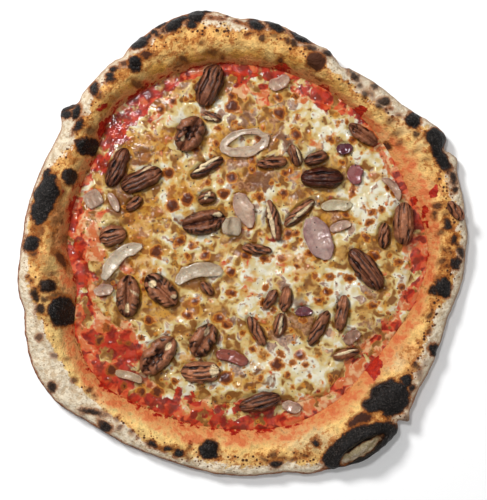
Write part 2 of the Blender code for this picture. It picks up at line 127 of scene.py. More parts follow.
# Blisters of the rim, and the burst bubble at the bottom right with its hole and the pale crumb inside it
BLISTERS = spots("""
    -129 29 34 18 2.6 68; -119 -45 22 17 2.6 80; 125 66 20 16 2.6 60; -127 -13 20 18 2.4;
    97 -100 27 23 2.2 40; 48 120 15 13 2.2 20; -70 119 10 8 1.8 30; -102 64 13 12 2; 131 -29 12 12 1.8;
    -67 131 12 8 1.6 20; -46 142 13 7 1.6 25; -31 148 12 7 1.5 5; 20 142 12 8 1.6; 39 134 13 6 1.5;
    112 81 10 9 1.7; 92 93 8 6 1.3; -139 1 9 10 1.6; -127 -28 11 7 1.6 20; -22 -135 11 11 1.8;
    -49 -135 10 7 1.2; 127 -71 7 8 1.4; 139 -13 6 9 1.3; -114 42 10 10 1.6; 7 144 10 6 1.2 10;
    -110 86 8 9 1.3; 96 64 11 7 1.2 10; -84 122 10 9 1.4; 73 110 7 5 1.1; 142 18 12 14 0.6
""")
BUBBLE, BUBBLE_HOLE, BUBBLE_CRUMB = spots("78 -135 56 34 8 33; 78 -135 33 11 -11 33; 78 -136 35 9 1 34")

# Black char of the rim
CHARS = spots("""
    -67.5 131.5 12 8.5 1 30; -55 143 5.5 4; -57 137.5 6.5 2.5 1 -30; -62 135.5 2.5 2.5; -70.5 117 8.5 8;
    -84.5 114 4 3.5; -87 109.5 3.5 2.5; -86 106.5 4.5 2.5 1 20; -96.5 100.5 4 5.5; -115 90.5 10.5 5.5 1 35;
    -115.5 84 6 4.5 1 30; -109 86 4.5 6.5; -107.5 77 7.5 2.5 1 60; -101.5 63.5 13 11; -128.5 45 5.5 4 1 30;
    -130 28 33 14 1 72; -114 43 8.5 9 0.9; -138.5 0 8 10 1 -20; -126.5 -28.5 10.5 7 0.9 -10;
    -135.5 -34.5 4 6 0.8; -130 -36.5 2.5 3 0.6; -132.5 -43.5 4.5 6 0.8; -119 -45.5 16.5 20 1 -10;
    -45.5 142 14 6.5 1 30; -40.5 146.5 6 2.5 1 20; -31 149 11 8 1 10; -33.5 142.5 5.5 4.5;
    -24 152.5 5.5 3.5 1 15; 7.5 143 10 5.5 1 -20; 21 142 12 5.5 1 -35; 38 134 11 4.5 1 -22;
    43 127.5 4 3 0.8; 46 127.5 3 2.5 0.7; 33.5 130 3.5 4 0.7; 28.5 132 2.5 3.5 0.6; 12.5 134 3.5 4.5 0.6;
    56 124.5 5.5 3.5 0.8 -10; 73.5 109.5 5 3 0.7 -40; 69.5 114 8 1.5 0.5 -50; 76.5 103.5 2.5 2.5 0.5;
    87 103.5 3.5 3.5 0.6; 80 96.5 3 3.5 0.6; 92.5 93 6 4.5 0.7 -20; 89 89 3 3 0.6; 111.5 80.5 8 9;
    113.5 71.5 3 3 0.6; 126.5 69 14 13 1 -50; 129.5 57 20 7 1 -60; 137.5 43 3.5 5.5 0.8 20;
    131.5 -29 8.5 11; 125.5 -31 5 5 0.9; 126.5 -70.5 6 7 1 30; 113 -80.5 3.5 3.5 0.6; 107 -90 6 6;
    111 -95 3.5 3.5 0.9; 96.5 -100.5 25 20; 84.5 -106 10 8; 98.5 -108 14 9 1 30; -22 -136 12 10.5;
    -49.5 -135.5 4.5 2.5; -41.5 -137.5 6 4; -59.5 -132 5.5 2.5 0.9 -30; 21 -144.5 6 4 0.9;
    47.5 -130.5 4 3.5; 134.5 12.5 3.5 4.5 0.9; 139.5 -13 5.5 6.5 0.9; 138.5 2 4 3.5 0.8;
    142 -4.5 8 2.5 0.8 -60; -98.5 -111.5 11 3.5 0.8 -12; -91 -121 8.5 5.5 0.9 -20; -126 -94.5 6 5.5 0.8;
    138.5 35 3.5 3.5 0.8; 78.5 -134.5 53 27.5 1 25
""")

# Brown scorching of the rim
SCORCHES = spots("""
    -63.5 122 10.5 6 0.9 10; -78 117 6 4.5 0.8; -93.5 96.5 5.5 4 0.7; -92.5 61.5 6 4.5 0.8;
    -69.5 105 8 4.5 0.6 -45; -101 74 8 5.5 0.6 30; -3.5 145 6 2.5 0.9 -10; -20 147 4.5 2 0.9;
    -14.5 147 4.5 2 0.9; -10.5 150 4 2 0.9 10; 4.5 136 4.5 2.5 0.8 10; 11 138 5.5 2 0.7; 20 136.5 6 3.5 0.5;
    47.5 119 13 12.5 0.9; 25 120 3.5 4 0.8; -39.5 120 6.5 3.5 0.7 -20; -20 124.5 8.5 4 0.6;
    -13 122 3.5 4 0.6; -27 131.5 3.5 3.5 0.5; 95.5 64 6 5.5 0.9; 97 80 6 4 0.5 20; 100.5 71.5 6 3.5 0.5 35;
    103.5 66 4 4.5 0.5; -122 -36.5 12 8 0.7; -119.5 -11 14 4.5 0.8 -55; -137.5 -6.5 6 6.5 0.8;
    -141 -22 3.5 2.5 0.8; -138 -24.5 4 2.5 0.8 -30; -133.5 -62.5 4.5 5.5 0.7; -124 -74 4 4 0.6;
    -117 -76.5 3.5 2 0.6; -111.5 -90.5 4 4 0.7; -101 -97 4.5 4 0.7; -97.5 -101 2.5 2.5 0.6;
    -82.5 -115.5 4 3.5 0.5; -81 -121.5 3.5 3.5 0.6; -73.5 -124 2.5 2.5 0.6; -70 -127.5 2 2 0.7;
    -35.5 -134.5 2.5 4 0.6; -36.5 -140.5 2.5 3.5 0.6; -35 -112 8 6.5 0.6; 20 -138.5 4.5 4.5 0.7;
    14.5 -142 5.5 3.5 0.6; 25 -141 6 2 0.7; 32.5 -142 5.5 2 0.7 15; 40.5 -140 6 2 0.7 15;
    127.5 24.5 5.5 4 0.8 -20; 126.5 19 3.5 6.5 0.8 10; 130 -12.5 5.5 3.5 0.7 30; 134.5 -14.5 5.5 2.5 0.7 30;
    132.5 -4.5 5.5 2.5 0.7 -60; 128.5 -22.5 3.5 2.5 0.6; 123.5 -47.5 5.5 4 0.7 40; 121.5 -58 3.5 4 0.7;
    119.5 -78.5 2.5 6 0.3 -20; -134 8.5 9 8 0.5; -126 -21 8 4 0.5 10; -117 2 5.5 8 0.4;
    67.5 113 4 2.5 0.6 -50; 84 97.5 5.5 3.5 0.5 -60; 93.5 87 2.5 2.5 0.8; 96.5 88.5 2.5 2 0.8;
    102.5 84 3.5 2 0.7; -121 35 8 13 0.35; 130 7.5 6 4 0.6 40; 136 -6 6 2.5 0.6 -50; 107 -117.5 12 8 0.5 60;
    -56 -134 8 2.5 0.8 -30; 115.5 -85 3.5 6 0.5; 109 -84 6 2.5 0.3 20; 133.5 18.5 4 3.5 0.5;
    119.5 55 5.5 2.5 0.4 10; 114 61.5 5.5 2.5 0.4 30; 77 -116 18 8 0.95 30
""")

# Colours, as bytes of a screen colour in the studio's light: the rim, its base and its burns
STUDIO_GAIN = 1.25
FLOURY, FLOURY_LIGHT = (214, 188, 154), (246, 230, 202)
GOLDEN, ORANGE = (255, 220, 142), (244, 174, 92)
CRUMB = (232, 210, 164)
# The inner wall in painted shade, and where it is lit
WALL_SHADED, WALL_LIGHT = (112, 40, 10), (226, 148, 80)
TOASTED, TOASTED_DARK = (186, 108, 40), (122, 62, 24)
STAINED, STAINED_RED = (236, 164, 100), (218, 100, 54)
SMEAR, SMEAR_DARK = (200, 50, 28), (158, 28, 16)
SPECK_HALO, SPECK = (146, 80, 34), (58, 32, 22)
SCORCH_HALO, SCORCHED = (150, 80, 30), (62, 32, 22)
CHAR_HALO, CHAR_EDGE = (160, 88, 30), (64, 34, 20)
# Black char, and grey flecks on it that are painted glints
BLACK, CHAR_GLINT = (18, 14, 12), (74, 66, 62)
BASE_BROWN, BASE_BURNT = (168, 110, 58), (58, 42, 34)

# Sauce, cheese, nuts, onion that has none of its own, pepper, and the studio's floor as a share of white
FILM, FILM_PALE, THIN_RED = (206, 106, 56), (228, 176, 128), (214, 84, 46)
RED, DEEP_RED = (186, 40, 18), (128, 16, 6)
MELT_DARK, MELT = (138, 86, 34), (200, 152, 80)
CREAM, WHITE_DULL, WHITE = (216, 188, 122), (222, 206, 162), (234, 228, 204)
COOKED_DARK, COOKED_PALE = (124, 68, 46), (176, 122, 92)
OIL, OIL_DEEP = (208, 148, 54), (150, 82, 14)
# Dark red over sauce and dark amber over cheese: painted shade, with some darker juice
SHADE_AND_JUICE_RED, SHADE_AND_JUICE_AMBER = (124, 34, 14), (112, 62, 20)
TOAST_HALO, TOAST_BROWN, TOAST_BURNT = (206, 132, 44), (148, 74, 18), (84, 34, 10)
# Nut skin runs from NUT_DARK to NUT_LIGHT by its own tone and by painted light on its tops; its furrows take
# painted shade
NUT_DARK, NUT_LIGHT, NUT_FURROW_SHADE, NUT_FLESH = (72, 28, 15), (190, 122, 84), (34, 10, 5), (232, 208, 166)
ONION_USUAL = ((238, 206, 178), (190, 132, 116))
PEPPER_DARK, PEPPER_LIGHT = (34, 26, 22), (74, 52, 38)
FLOOR_GREY = 0.93

# Patches of the rim and of the layers on it: where sauce shows, and what tints the dough, painted shade among
# the tints
RED_SAUCE = spots("""
    130 41.5 4 9 0.7; 125.5 35 5.5 8 0.8; 112 28.5 5.5 8 0.8; 119.5 20.5 4 8 0.8; 122 12 2.5 5.5 0.7;
    116 0 8 12 0.7; 114 -12.5 5.5 13 0.9 20; 112 -33 9 8 0.8; 75 86.5 13 5.5 0.8; 86.5 -81 10.5 13 0.9;
    98.5 -56 13 5.5 0.8 20; 87 -64 14.5 5.5 0.8 45; 74 -76 6.5 12 0.5; 67.5 -84 6.5 12 0.3 -20;
    60.5 -95.5 9 14 0.4 -30; 46 -110 18 7 0.3 20; -80 -68 22 30 1 20; 19 -116 18.5 10 0.8;
    -6 -113 24 16 1.1; -33 -103.5 14.5 9 0.8; -121 35 5.5 9 0.7; -84 77 24 14.5 1 45; -91 89 8 6.5 0.7 40;
    8 108 22 12 1 -10; 26 116 8 6 1 10; -46 106 18 7 1 35; 48 100 26 10 1 -28; -111 22 7 26 0.6;
    -104 -40 10 40 1 12; -92 -70 14 20 0.6 20; -70 82 18 14 0.8 35; -84 -88 22 16 1 -30;
    -64 -104 26 12 1 -25; -44 -98 14 8 0.8 -10
""")
SHADED_OLIVE, PALE, PINK, SHADED_BROWN = (222, 158, 66), (236, 204, 150), (232, 150, 98), (128, 54, 20)
RIM_TINTS = [
    # Painted shade: dark red-brown at the foot and on the inner wall along the rim's shaded left side
    (SHADED_BROWN, spots("""
        -121 12 12 46 0.8; -72 97 34 12 0.8 40; -106 50 8 30 0.4 25; -54 109 26 9 0.8 25;
        -106 -51 10 18 0.9 10; -133 -11 14 10 0.5
    """)),
    # Painted shade: a darker golden band on the upper inner slope of the rim's shaded top side
    (SHADED_OLIVE, spots("""
        -74.5 102.5 14.5 9 0.8 35; -55 113 17 8 0.8 20; -28.5 122 26.5 6.5 0.8 5; 1.5 123.5 26.5 6.5 0.7;
        31 119.5 20 8 0.7 -15; -89 89 10.5 9 0.6 45; -104.5 61.5 9 16 0.4; 62 102 20 8 0.6 -35
    """)),
    (PALE, spots("""
        98.5 -78.5 13 12 0.8; 41 -128 37 17 0.7; 90.5 -123.5 6.5 5.5 0.5; 133.5 -44 13 20 0.4;
        130 -60.5 12 17 0.4; -22 -142 39.5 10.5 0.4; 104 81 14 20 0.7 40; 117 -77 10 16 0.7 -20;
        77 108 20 9 0.8 -42; 118 66 9 14 0.4 25; 51 -130 22 12 0.8 10; -94 -104 18 12 0.7 -45;
        90 68 12 12 0.6
    """)),
    (PINK, spots("""
        124.5 5.5 10.5 20 0.5; 120 36 13 16 0.5; -102.5 -72 8 17 0.4 20; 107 -72 16 13 0.4;
        4.5 -124.5 39.5 13 0.4; 123.5 -18 9 20 0.5; 101 -109 13 10.5 0.5 40
    """)),
]

# Width of the floury outer side, every 10 degrees
FLOUR_WIDTH = [6, 7, 9, 6, 10, 12, 8, 6, 6, 8, 10, 8, 8, 8, 11, 12, 6, 4,
               6, 8, 11, 24, 25, 18, 10, 7, 7, 7, 8, 7, 5, 6, 8, 10, 9, 7]

# Every 30 degrees: depth of the toasting, painted shade on the inner wall (deepest where the wall faces away
# from the key light), how far up the inner wall the sauce has stained it, how much red sauce shows along its
# foot, how many brown specks lie beside the flour, and how strongly the outermost edge is burnt
TOAST = [0.8, 0.55, 0.65, 0.6, 0.7, 0.7, 0.6, 0.4, 0.4, 0.5, 0.6, 0.7]
WALL_PAINTED_SHADE = [0.4, 0.1, 0.5, 0.65, 0.85, 0.95, 1.0, 0.7, 0.3, 0.1, 0.1, 0.2]
STAIN = [0.7, 0.45, 0.3, 0.25, 0.3, 0.35, 0.45, 0.5, 0.65, 0.7, 0.45, 0.5]
FOOT_RED = [0.4, 0.25, 0.45, 0.45, 0.6, 0.6, 0.35, 0.5, 0.6, 0.6, 0.2, 0.25]
SPECKS = [1.0, 1.0, 0.9, 1.0, 0.9, 0.8, 0.8, 0.6, 0.9, 0.8, 0.9, 1.1]
EDGE_BURN = [0.5, 0.4, 0.3, 0.4, 0.5, 0.6, 0.9, 1.0, 0.9, 0.9, 0.9, 0.7]

# The band of red sauce along the foot of the rim: its middle inside the foot, half-width, and fading side
FOOT_BAND_INSET, FOOT_BAND_HALF, FOOT_BAND_FADE = 5, 11, 7

# How strong the painted shadow round a topping is, how much wider than it, and how far off its middle, towards
# the lower right away from the key light
NUT_SHADE, ONION_SHADE = 1.0, 0.6
SHADE_WIDER = 3
SHADE_MOVE = 0.5 * MM, -0.7 * MM

# Patches of the cheese: white curd, orange oil, stains of cooked onion, dark amber patches that are painted
# shade between toppings and along the foot of the rim with some darker juice, and thin places where the sauce
# shows through
WHITE_CURD = spots("""
    104 42 14 22; 64 -24 26 18 0.9; 90 55 20 14 0.9; 82.5 33 36 40; 28 -84 66 34; 93.5 -44 9 9 0.8;
    -84.5 61.5 8 6.5 0.7; 103.5 -14.5 20 6.5 0.7 60; 64 -37.5 26.5 16 0.5 20; 14.5 25 26.5 20 0.5;
    37.5 61.5 39.5 16 0.4; -2 81 20 16 0.4; -5.5 -31 26.5 20 0.5; 37.5 -12.5 26.5 17 0.5;
    74 5.5 26.5 17 0.5; -61.5 -70.5 20 20 0.3; 11 -8 33 20 0.4; 57.5 8.5 26.5 20 0.5; 31 -44 33 16 0.4;
    -68 -62 14 20 0.7 20; -22 -95 30 12 0.7; 68 64 26 20 0.5; -48 84 24 16 0.5; 4 -26 26 24 0.7 -40;
    -16 -8 20 12 0.5 -30; 60 -66 20 14 0.6; -42 -91 14 10 0.8; 14 -50 12 10 0.6; 56 80 26 16 0.8 -25;
    50 -92 18 12 0.9
""")
# Orange oil; the patch at -68 56 darkens the gap between two nuts, painted shade
OIL_AND_SHADE = spots("""
    -66 64 30 26 0.9; 38 -12 22 22 0.7; -2 80 24 20 0.5; -68 -12 20 24; 2 -91 28 12 0.9; -68 12 29 46 0.9;
    -68 56 18 12 1.2; -33.5 -42 12 12 1.2; -16 -97 10.5 9 0.6; -58 -37.5 26.5 33 0.6;
    -74.5 55 26.5 26.5 0.6; 89 43 8.5 8.5 0.9; -2 -12.5 10.5 10.5 0.5; -25 68 26.5 20 0.5;
    -48 -74 33 20 0.5; 12.5 -57.5 26.5 13 0.5; 51 35 33 13 0.5; -38 36 30 30 0.6; 10 -76 14 12 0.8;
    -55 15 16 14; -55 68 16 12 0.9
""")
COOKED = spots("""
    11 42 30 14 1.3 10; -2 55 22 12; -2 82 20 20; 24 66 28 16 0.7; 32 43 30 12 0.7; 36 -52 28 16 0.75;
    24 86 18 16 0.6; -80 30 16 20; 82 -56 16 16 0.5; 85 -30 14 22 0.8 -30; 24 -64 18 14 0.9;
    63 18 22 12 0.6; -92 -27 14 20 0.7; 10 -46 20 12 0.2; -30 -60 16 12 0.4; -62 62 24 16 0.5;
    20 -26 18 12 0.4; -4 -88 20 14 0.6
""")
# Dark amber patches: painted shade in gaps between toppings and along the foot of the rim, with some darker
# juice
SHADE_AND_JUICE_PATCHES = spots("""
    -68 95 24 8 0.9 38; -54 108 26 6 1 28; 11 42 22 16; 51 28 22 10 0.9; -42 16 16 14 0.6; -81 26 18 18 1.2;
    -68 56 18 12 0.9 20; -55 14 12 12 0.6; -68 -90 18 12 1 -30; -28 -26 14 10 0.8; -2 -52 12 12 0.8;
    -82 14 14 12 0.7; -82 -24 16 12 0.8 30; 38 -38 12 12 0.8; 8 -90 26 12 0.8; 11 -77 14 10 0.5;
    -109 -50 8 20 0.9 10; -2 81 18 16 0.8; -42 2 14 12 0.6; -82 67 14 12 0.7; 24 68 16 12 0.8;
    24 54 14 10 0.8; -94 29 12 10 0.7; -2 3 14 10 0.8; 11 15 12 12 0.6; -16 -77 12 10 0.7; 24 -104 16 8
""")
THIN = spots("""
    -80 -70 30 36 1 20; -105 -8 24 99; -94.5 -67.5 20 39.5 0.9 20; -71.5 -93.5 39.5 24 0.9 -30;
    -91 55 16 39.5 0.7 20; -35 -100.5 39.5 13 0.6 -10; -61.5 81 39.5 16 0.5 35; 4.5 102.5 59.5 13 0.6;
    51 95.5 39.5 13 0.6 -15; 70.5 -87 20 26.5 0.8 -30; 100.5 -57.5 13 33 0.7; 111.5 -4.5 10.5 39.5 0.7;
    4.5 -111.5 59.5 13 0.8; -80 -30 20 40 0.45; 70 -68 34 20 0.45 10; 84 -20 30 16 0.4 -60; -8 46 20 12 0.3;
    28 -18 22 16 0.3; 6 92 26 14 0.3
""")

# Toasted blisters of the cheese
CHEESE_SPOTS = spots("""
    -49.5 46 8 7.5 0.6; -47 25 8 7.5 0.6; -36.5 29.5 8.5 8 0.7; -7.5 43 6.5 6 0.6; -13 32.5 6 6 0.6;
    10 30.5 5.5 4.5 0.6; 26.5 33 5.5 5.5 0.6; 6 48 4 3.5 0.5; -7.5 91 8.5 8 0.7; -7.5 97.5 5.5 4.5 0.6;
    -54 88 5.5 5.5 0.6; -47 93 5.5 4.5 0.6; -41.5 1.5 8 4 0.8 40; -33.5 -1.5 4 4 0.7; -57.5 -6 8.5 8 0.7;
    2 -8 5.5 5.5 0.7; 14.5 -10.5 5.5 4.5 0.6; -8.5 -19 6 6 0.6; -7.5 -33 5.5 4.5 0.6; 14.5 -29 3.5 3.5 0.5;
    12.5 -39 3.5 3.5 0.6; 25.5 -10 4 3.5 0.5; 35.5 -15 3.5 3.5 0.5; 43 -7.5 4.5 4 0.7; 29 6 5.5 5.5 0.6;
    34.5 6.5 4 3.5 0.6; 24.5 86 8 7.5 0.7; 23 96.5 4 3.5 0.6; 35 71.5 6 6 0.7; 57.5 68 4.5 4.5 0.7;
    72.5 67.5 3.5 3.5 0.6; 65.5 53 3.5 3.5 0.5; -17 76 4 3.5 0.5; -18.5 65.5 3.5 3.5 0.5; 10 69.5 4 3.5 0.5;
    -16.5 -49.5 6.5 6 0.7; -37 -47.5 5.5 4.5 0.6; -31.5 -39 5.5 4.5 0.6; -11 -54 5.5 4.5 0.6;
    22.5 -80.5 8 7.5 0.6; 11 -89 4 4 0.6; 37.5 -74 6.5 6 0.6; 41 -80.5 4 3.5 0.5; 32.5 -79 4 3.5 0.5;
    24.5 -73.5 4 3.5 0.5; 29 -87 4 3.5 0.5; -11 -88.5 8.5 8 0.7; 6 -70.5 4 3.5 0.5; -45 -91 4 4 0.6;
    -95 -64.5 5.5 5.5 0.7; -90.5 -56 6.5 6.5 0.5; -81 -64.5 4 3.5 0.6; -76 -65.5 4 4 0.6; -87 -84 8 7.5 0.9;
    -88.5 -91.5 2.5 2.5 0.8; -67.5 -98.5 5.5 5.5 0.8; -57 -98.5 6.5 6 0.5; 58 -90 3.5 5.5 0.8;
    50 -37.5 5.5 4.5 0.7; 55.5 -33 5.5 4.5 0.7; 57.5 -22.5 4 4 0.6; 70.5 -23 5.5 4.5 0.7;
    86 -41.5 5.5 4 0.8; 72 35 3.5 6.5 0.8; 95.5 36.5 3.5 3.5 0.7; 101.5 32.5 4.5 4 0.8; 84.5 20 3.5 2.5 0.8;
    91.5 21 3.5 3.5 0.7; 84 14 3.5 3.5 0.7; 81 3.5 5.5 3.5 0.8 -50; 105 -28.5 4 4 0.7;
    -67.5 -62.5 3.5 3.5 0.7; 35 97 3.5 3.5 0.6; 102.5 -12.5 6 4.5 0.7; -79 -95 3.5 5.5; 5.5 55 4 5.5 0.9;
    -5.5 79 2.5 2.5; -30.5 61.5 5.5 4.5 0.5; 4.5 12 6 5.5 0.5; -25 -8 5.5 4.5 0.5; 67.5 18.5 5.5 4.5 0.5;
    87 -8 6 5.5 0.5; -71.5 41.5 6 5.5 0.5; -61.5 -51 6.5 6 0.5
""")

# The toppings, in the order of their nodes
PECANS = toppings("""
    back -22 104 68 29 17; front -35 72 60 25 19; cut -21 83 -15 13 6; back -83 50 65 28 12;
    back -67 42 25 29 14; cut -24 50 30 25 8; chunk -72 26 40 13 7; back -86 5 15 18 14;
    front -76 -35 88 28 16; front -54 -31 -45 27 17; front -26 14 12 29 16; cut -24 30 20 12 9;
    front -56 -74 48 31 17; front -26 -64 60 24 16; back -28 -85 0 26 15; back 11 -105 15 28 12;
    chunk 9 -4 -5 20 7; cut 20 15 -77 28 8; cut 37 20 42 26 8; chunk 19 53 8 20 8; chunk 34 58 -70 15 8;
    chunk 48 56 20 16 9; back 52 43 0 28 15; front 79 72 -35 22 10; back 106 13 88 28 15;
    chunk 93 5 85 17 8; back 81 -17 -52 33 15; chunk 65 -46 80 24 9; cut 50 -56 62 26 8;
    chunk 28 -37 80 17 8; cut 24 -54 80 16 8; chunk 18 -37 62 14 7; cut 9 -58 -60 22 8; cut 68 -73 15 18 7;
    chunk -24 -30 -45 11 6; chunk 139 21 -50 16 8 15 -5
""")
ONIONS = toppings("""
    loop 1 66 13 33 18; petal 1 22 -68 24 12; square -8 11 -5 13 12 26 -12; petal 50 3 -68 30 17;
    strip 64 11 20 14 6; crescent -30 -19 12 31 10; crescent -82 -10 42 33 9; square -99 29 30 12 11;
    strip -85 27 -60 13 5; petal -92 -31 10 13 8; strip -75 -88 -20 18 6; strip 62 25 3 20 7;
    petal 74 45 80 13 10; petal 67 62 10 11 8; strip -7 -75 -15 22 8; petal 40 -45 5 12 6;
    petal 32 -108 -20 13 8; strip 24 106 25 14 8; crescent 99 37 -50 18 5; petal 72 -62 30 13 8
""")

# Cross-sections of the nuts, as shares of the half-width and of the height, from one side over the top
SECTIONS = {
    "back": [(1, 0.28), (0.88, 0.66), (0.60, 0.93), (0.44, 0.76), (0.25, 1.0), (-0.25, 1.0), (-0.44, 0.76),
             (-0.60, 0.93), (-0.88, 0.66), (-1, 0.28), (-0.55, 0), (0.55, 0)],
    "front": [(1, 0.34), (0.86, 0.80), (0.52, 1.0), (0.22, 0.78), (0.08, 0.48), (-0.08, 0.48),
              (-0.22, 0.78), (-0.52, 1.0), (-0.86, 0.80), (-1, 0.34), (-0.5, 0), (0.5, 0)],
    "cut": [(1, 0.30), (0.80, 0.78), (0.35, 1.0), (-0.55, 0.72), (-1, 0.25), (-0.45, 0), (0.5, 0)],
    "chunk": [(1, 0.35), (0.62, 0.92), (0.10, 0.80), (-0.45, 1.0), (-1, 0.40), (-0.5, 0), (0.5, 0)],
}
NUT_RISE = {"back": 0.50, "front": 0.46, "cut": 0.75, "chunk": 0.72}
NUT_STATIONS, NUT_SIDES = 64, 72
TIP_FULLNESS = 2.6

# Onion pieces: bend of the whole piece in degrees, how soon it narrows to its ends, and rise of its edges
OnionShape = namedtuple("OnionShape", "bend fullness cup")
ONION_SHAPES = {
    "crescent": OnionShape(75, 3.0, 1.2), "petal": OnionShape(12, 2.2, 1.4),
    "square": OnionShape(0, 9.0, 0.7), "strip": OnionShape(30, 4.0, 0.9),
}
ONION_THICK = 1.6 * MM
ONION_STATIONS, ONION_SIDES = 40, 11
ONION_WAVE, WAVE_TURNS = 0.5 * MM, 5
END_WIDTH = 0.12

# Band of the onion loop: width where it is slim and where it is broad, and how far it is cupped
LOOP_SLIM, LOOP_BROAD = 4 * MM, 6.5 * MM
LOOP_CUP = 0.8 * MM
LOOP_STATIONS = 90

# Looks of the nuts by number: how light the skin is, and the ovals of its pale broken places, in
# millimetres along and across the nut
Look = namedtuple("Look", "tone cuts", defaults=(0.35, ""))
NUT_LOOKS = {
    1: Look(0.1), 2: Look(0.25, "-5 2 4 2.5 0.6"), 3: Look(0.3, "-1 -1.2 11 2.2"), 4: Look(0.0),
    5: Look(0.05, "7 5 10 1.6 0.8 10"), 6: Look(0.1, "1 1.8 20 3.2 1 4"),
    9: Look(0.4, "-8 0 6 3; 2 -5 8 1.6 0.7 60"), 10: Look(0.5, "-7 -1 5 4; 9 3 5 3 0.7 60"),
    11: Look(0.15, "10 2.5 6 3.5"), 12: Look(0.3, "1 1 6 3 0.9 30"), 13: Look(0.4, "9 -1 6 3.5"),
    14: Look(0.4, "6 1 6 2.5 0.9"), 15: Look(0.65, "9 1 6 8"), 16: Look(0.1),
    18: Look(0.3, "0 -1.8 24 2.6 0.9"), 19: Look(0.4, "0 -1 22 2.4"), 21: Look(0.3, "0 2.5 12 1.6 0.9"),
    22: Look(0.05), 23: Look(-0.25), 24: Look(0.2), 25: Look(0.4), 26: Look(0.4), 27: Look(0.1),
    28: Look(0.3), 30: Look(0.4), 31: Look(0.3, "0 -1 13 2.6"), 33: Look(0.45), 34: Look(0.3, "0 1 15 2"),
}

# Pale and dark colour of the onion pieces by number
ONION_LOOKS = {
    1: ((240, 216, 188), (204, 160, 134)), 3: ((232, 212, 182), (196, 164, 134)),
    4: ((230, 196, 182), (176, 120, 120)), 6: ((236, 216, 188), (200, 168, 136)),
    7: ((244, 228, 202), (216, 186, 156)), 8: ((228, 198, 170), (178, 128, 106)),
    11: ((232, 206, 170), (210, 160, 120)), 12: ((240, 226, 192), (214, 184, 138)),
    13: ((196, 120, 116), (150, 66, 80)), 14: ((128, 64, 78), (88, 34, 52)),
    15: ((188, 104, 82), (146, 62, 50)), 16: ((158, 92, 96), (90, 34, 62)),
    19: ((226, 188, 160), (170, 110, 90)), 20: ((206, 160, 132), (140, 80, 70)),
}

# Relief of the nuts, with the millimetres from furrow to furrow, and of the onion
WRINKLE, FURROW_DEPTH, FURROW_STEP = 0.3 * MM, 1.2 * MM, 3.6
ONION_WOBBLE, ONION_RIPPLE = 0.8 * MM, 0.3 * MM

# Pepper specks: how many are strewn, how far out, size in millimetres, thickness as a share of it, and seed
PEPPER_COUNT, PEPPER_REACH, PEPPER_SIZES, PEPPER_THICK, PEPPER_SEED = 700, 112, (0.5, 1.3), 0.5, 61

# Studio: name, place, size and power of each light, strength of the white world, and the floor
LIGHTS = [("Key light", (-0.7, 0.8, 1.1), 0.3, 20), ("Top light", (-0.25, 0.35, 1.5), 0.15, 7),
          ("Fill light", (0.9, -0.5, 1.2), 1.2, 4)]
WORLD_STRENGTH = 0.25
FLOOR_HALF, FLOOR_DROP = 3, 0.2 * MM

# Camera: height over the level it looks at, how much the picture's height covers there, and its middle
CAMERA_FAR, SIGHT_LEVEL = 1.2, 8 * MM
PICTURE_HEIGHT = 0.33
PICTURE_MIDDLE = (0.3, -4.6)
SENSOR = 36


def around(values, bearing):
    """A smooth closed curve through equally spaced values, read at bearings in radians."""
    values = np.asarray(values, float)
    place = bearing / math.tau * len(values) % len(values)
    first = np.floor(place).astype(int)
    t = place - first
    a, b, c, d = (values[(first + step) % len(values)] for step in (-1, 0, 1, 2))
    return 0.5 * (2 * b + (c - a) * t + (2 * a - 5 * b + 4 * c - d) * t**2 + (3 * b - a - 3 * c + d) * t**3)


def smooth(t):
    t = np.clip(t, 0, 1)
    return t * t * (3 - 2 * t)


def lattice_noise(points, size, seed):
    """Smooth noise from -1 to 1: random values at the corners of cells of the given size, blended."""
    count = 4096
    draw = np.random.default_rng(seed)
    table = draw.uniform(-1, 1, count)
    mix = draw.integers(1, count, 3) * 2 + 1
    cell = np.floor(points / size).astype(int)
    blend = smooth(points / size - cell)
    total = np.zeros(points.shape[:-1])
    for corner in np.ndindex(2, 2, 2):
        share = np.prod(np.where(corner, blend, 1 - blend), axis=-1)
        total += share * table[((cell + corner) * mix).sum(axis=-1) % count]
    return total


def layered(points, layers, unit=1):
    """Noise of several sizes laid over each other, from rows of height, size in millimetres and seed."""
    return sum(height * unit * lattice_noise(points, size * MM, seed) for height, size, seed in layers)


def flat_points(x, y):
    return np.stack([x, y, 0 * x], axis=-1)


def edge_reach(bearing):
    """Distance from the middle to the outer edge, with its nicks and flaps."""
    reach = around(EDGE_REACH, bearing)
    for nick in NICKS:
        off = (np.degrees(bearing) - nick.bearing + 180) % 360 - 180
        reach = reach + nick.change * np.exp(-((off / nick.half_width) ** 2))
    return reach * MM


def apart(x, y, spot):
    """Distance from a spot's middle, 1 at its oval edge."""
    turn = math.radians(spot.turn)
    dx, dy = x - spot.x * MM, y - spot.y * MM
    along = dx * math.cos(turn) + dy * math.sin(turn)
    across = dy * math.cos(turn) - dx * math.sin(turn)
    return np.hypot(along / (spot.long * MM / 2), across / (spot.wide * MM / 2))


def dome(distance):
    return np.clip(1 - distance**2, 0, 1) ** 1.5


def warped(x, y, amount=1.0):
    """The places moved about a little, so that an oval laid on them has an uneven edge."""
    points = flat_points(x, y)
    move_x, move_y = (layered(points, [(1, 5.5, seed), (0.6, 2.4, seed + 4)]) for seed in (71, 72))
    return x + amount * MM * move_x, y + amount * MM * move_y


def inside(x, y, ovals, far=-6.0):
    """How many millimetres each point is inside the nearest oval, less than 0 outside, and its level."""
    x, y = warped(x, y)
    depth, level = np.full(x.shape, far), np.zeros(x.shape)
    for spot in ovals:
        here = (1 - apart(x, y, spot)) * min(spot.long, spot.wide) / 2
        level = np.where(here > depth, spot.level, level)
        depth = np.maximum(depth, here)
    return depth, level


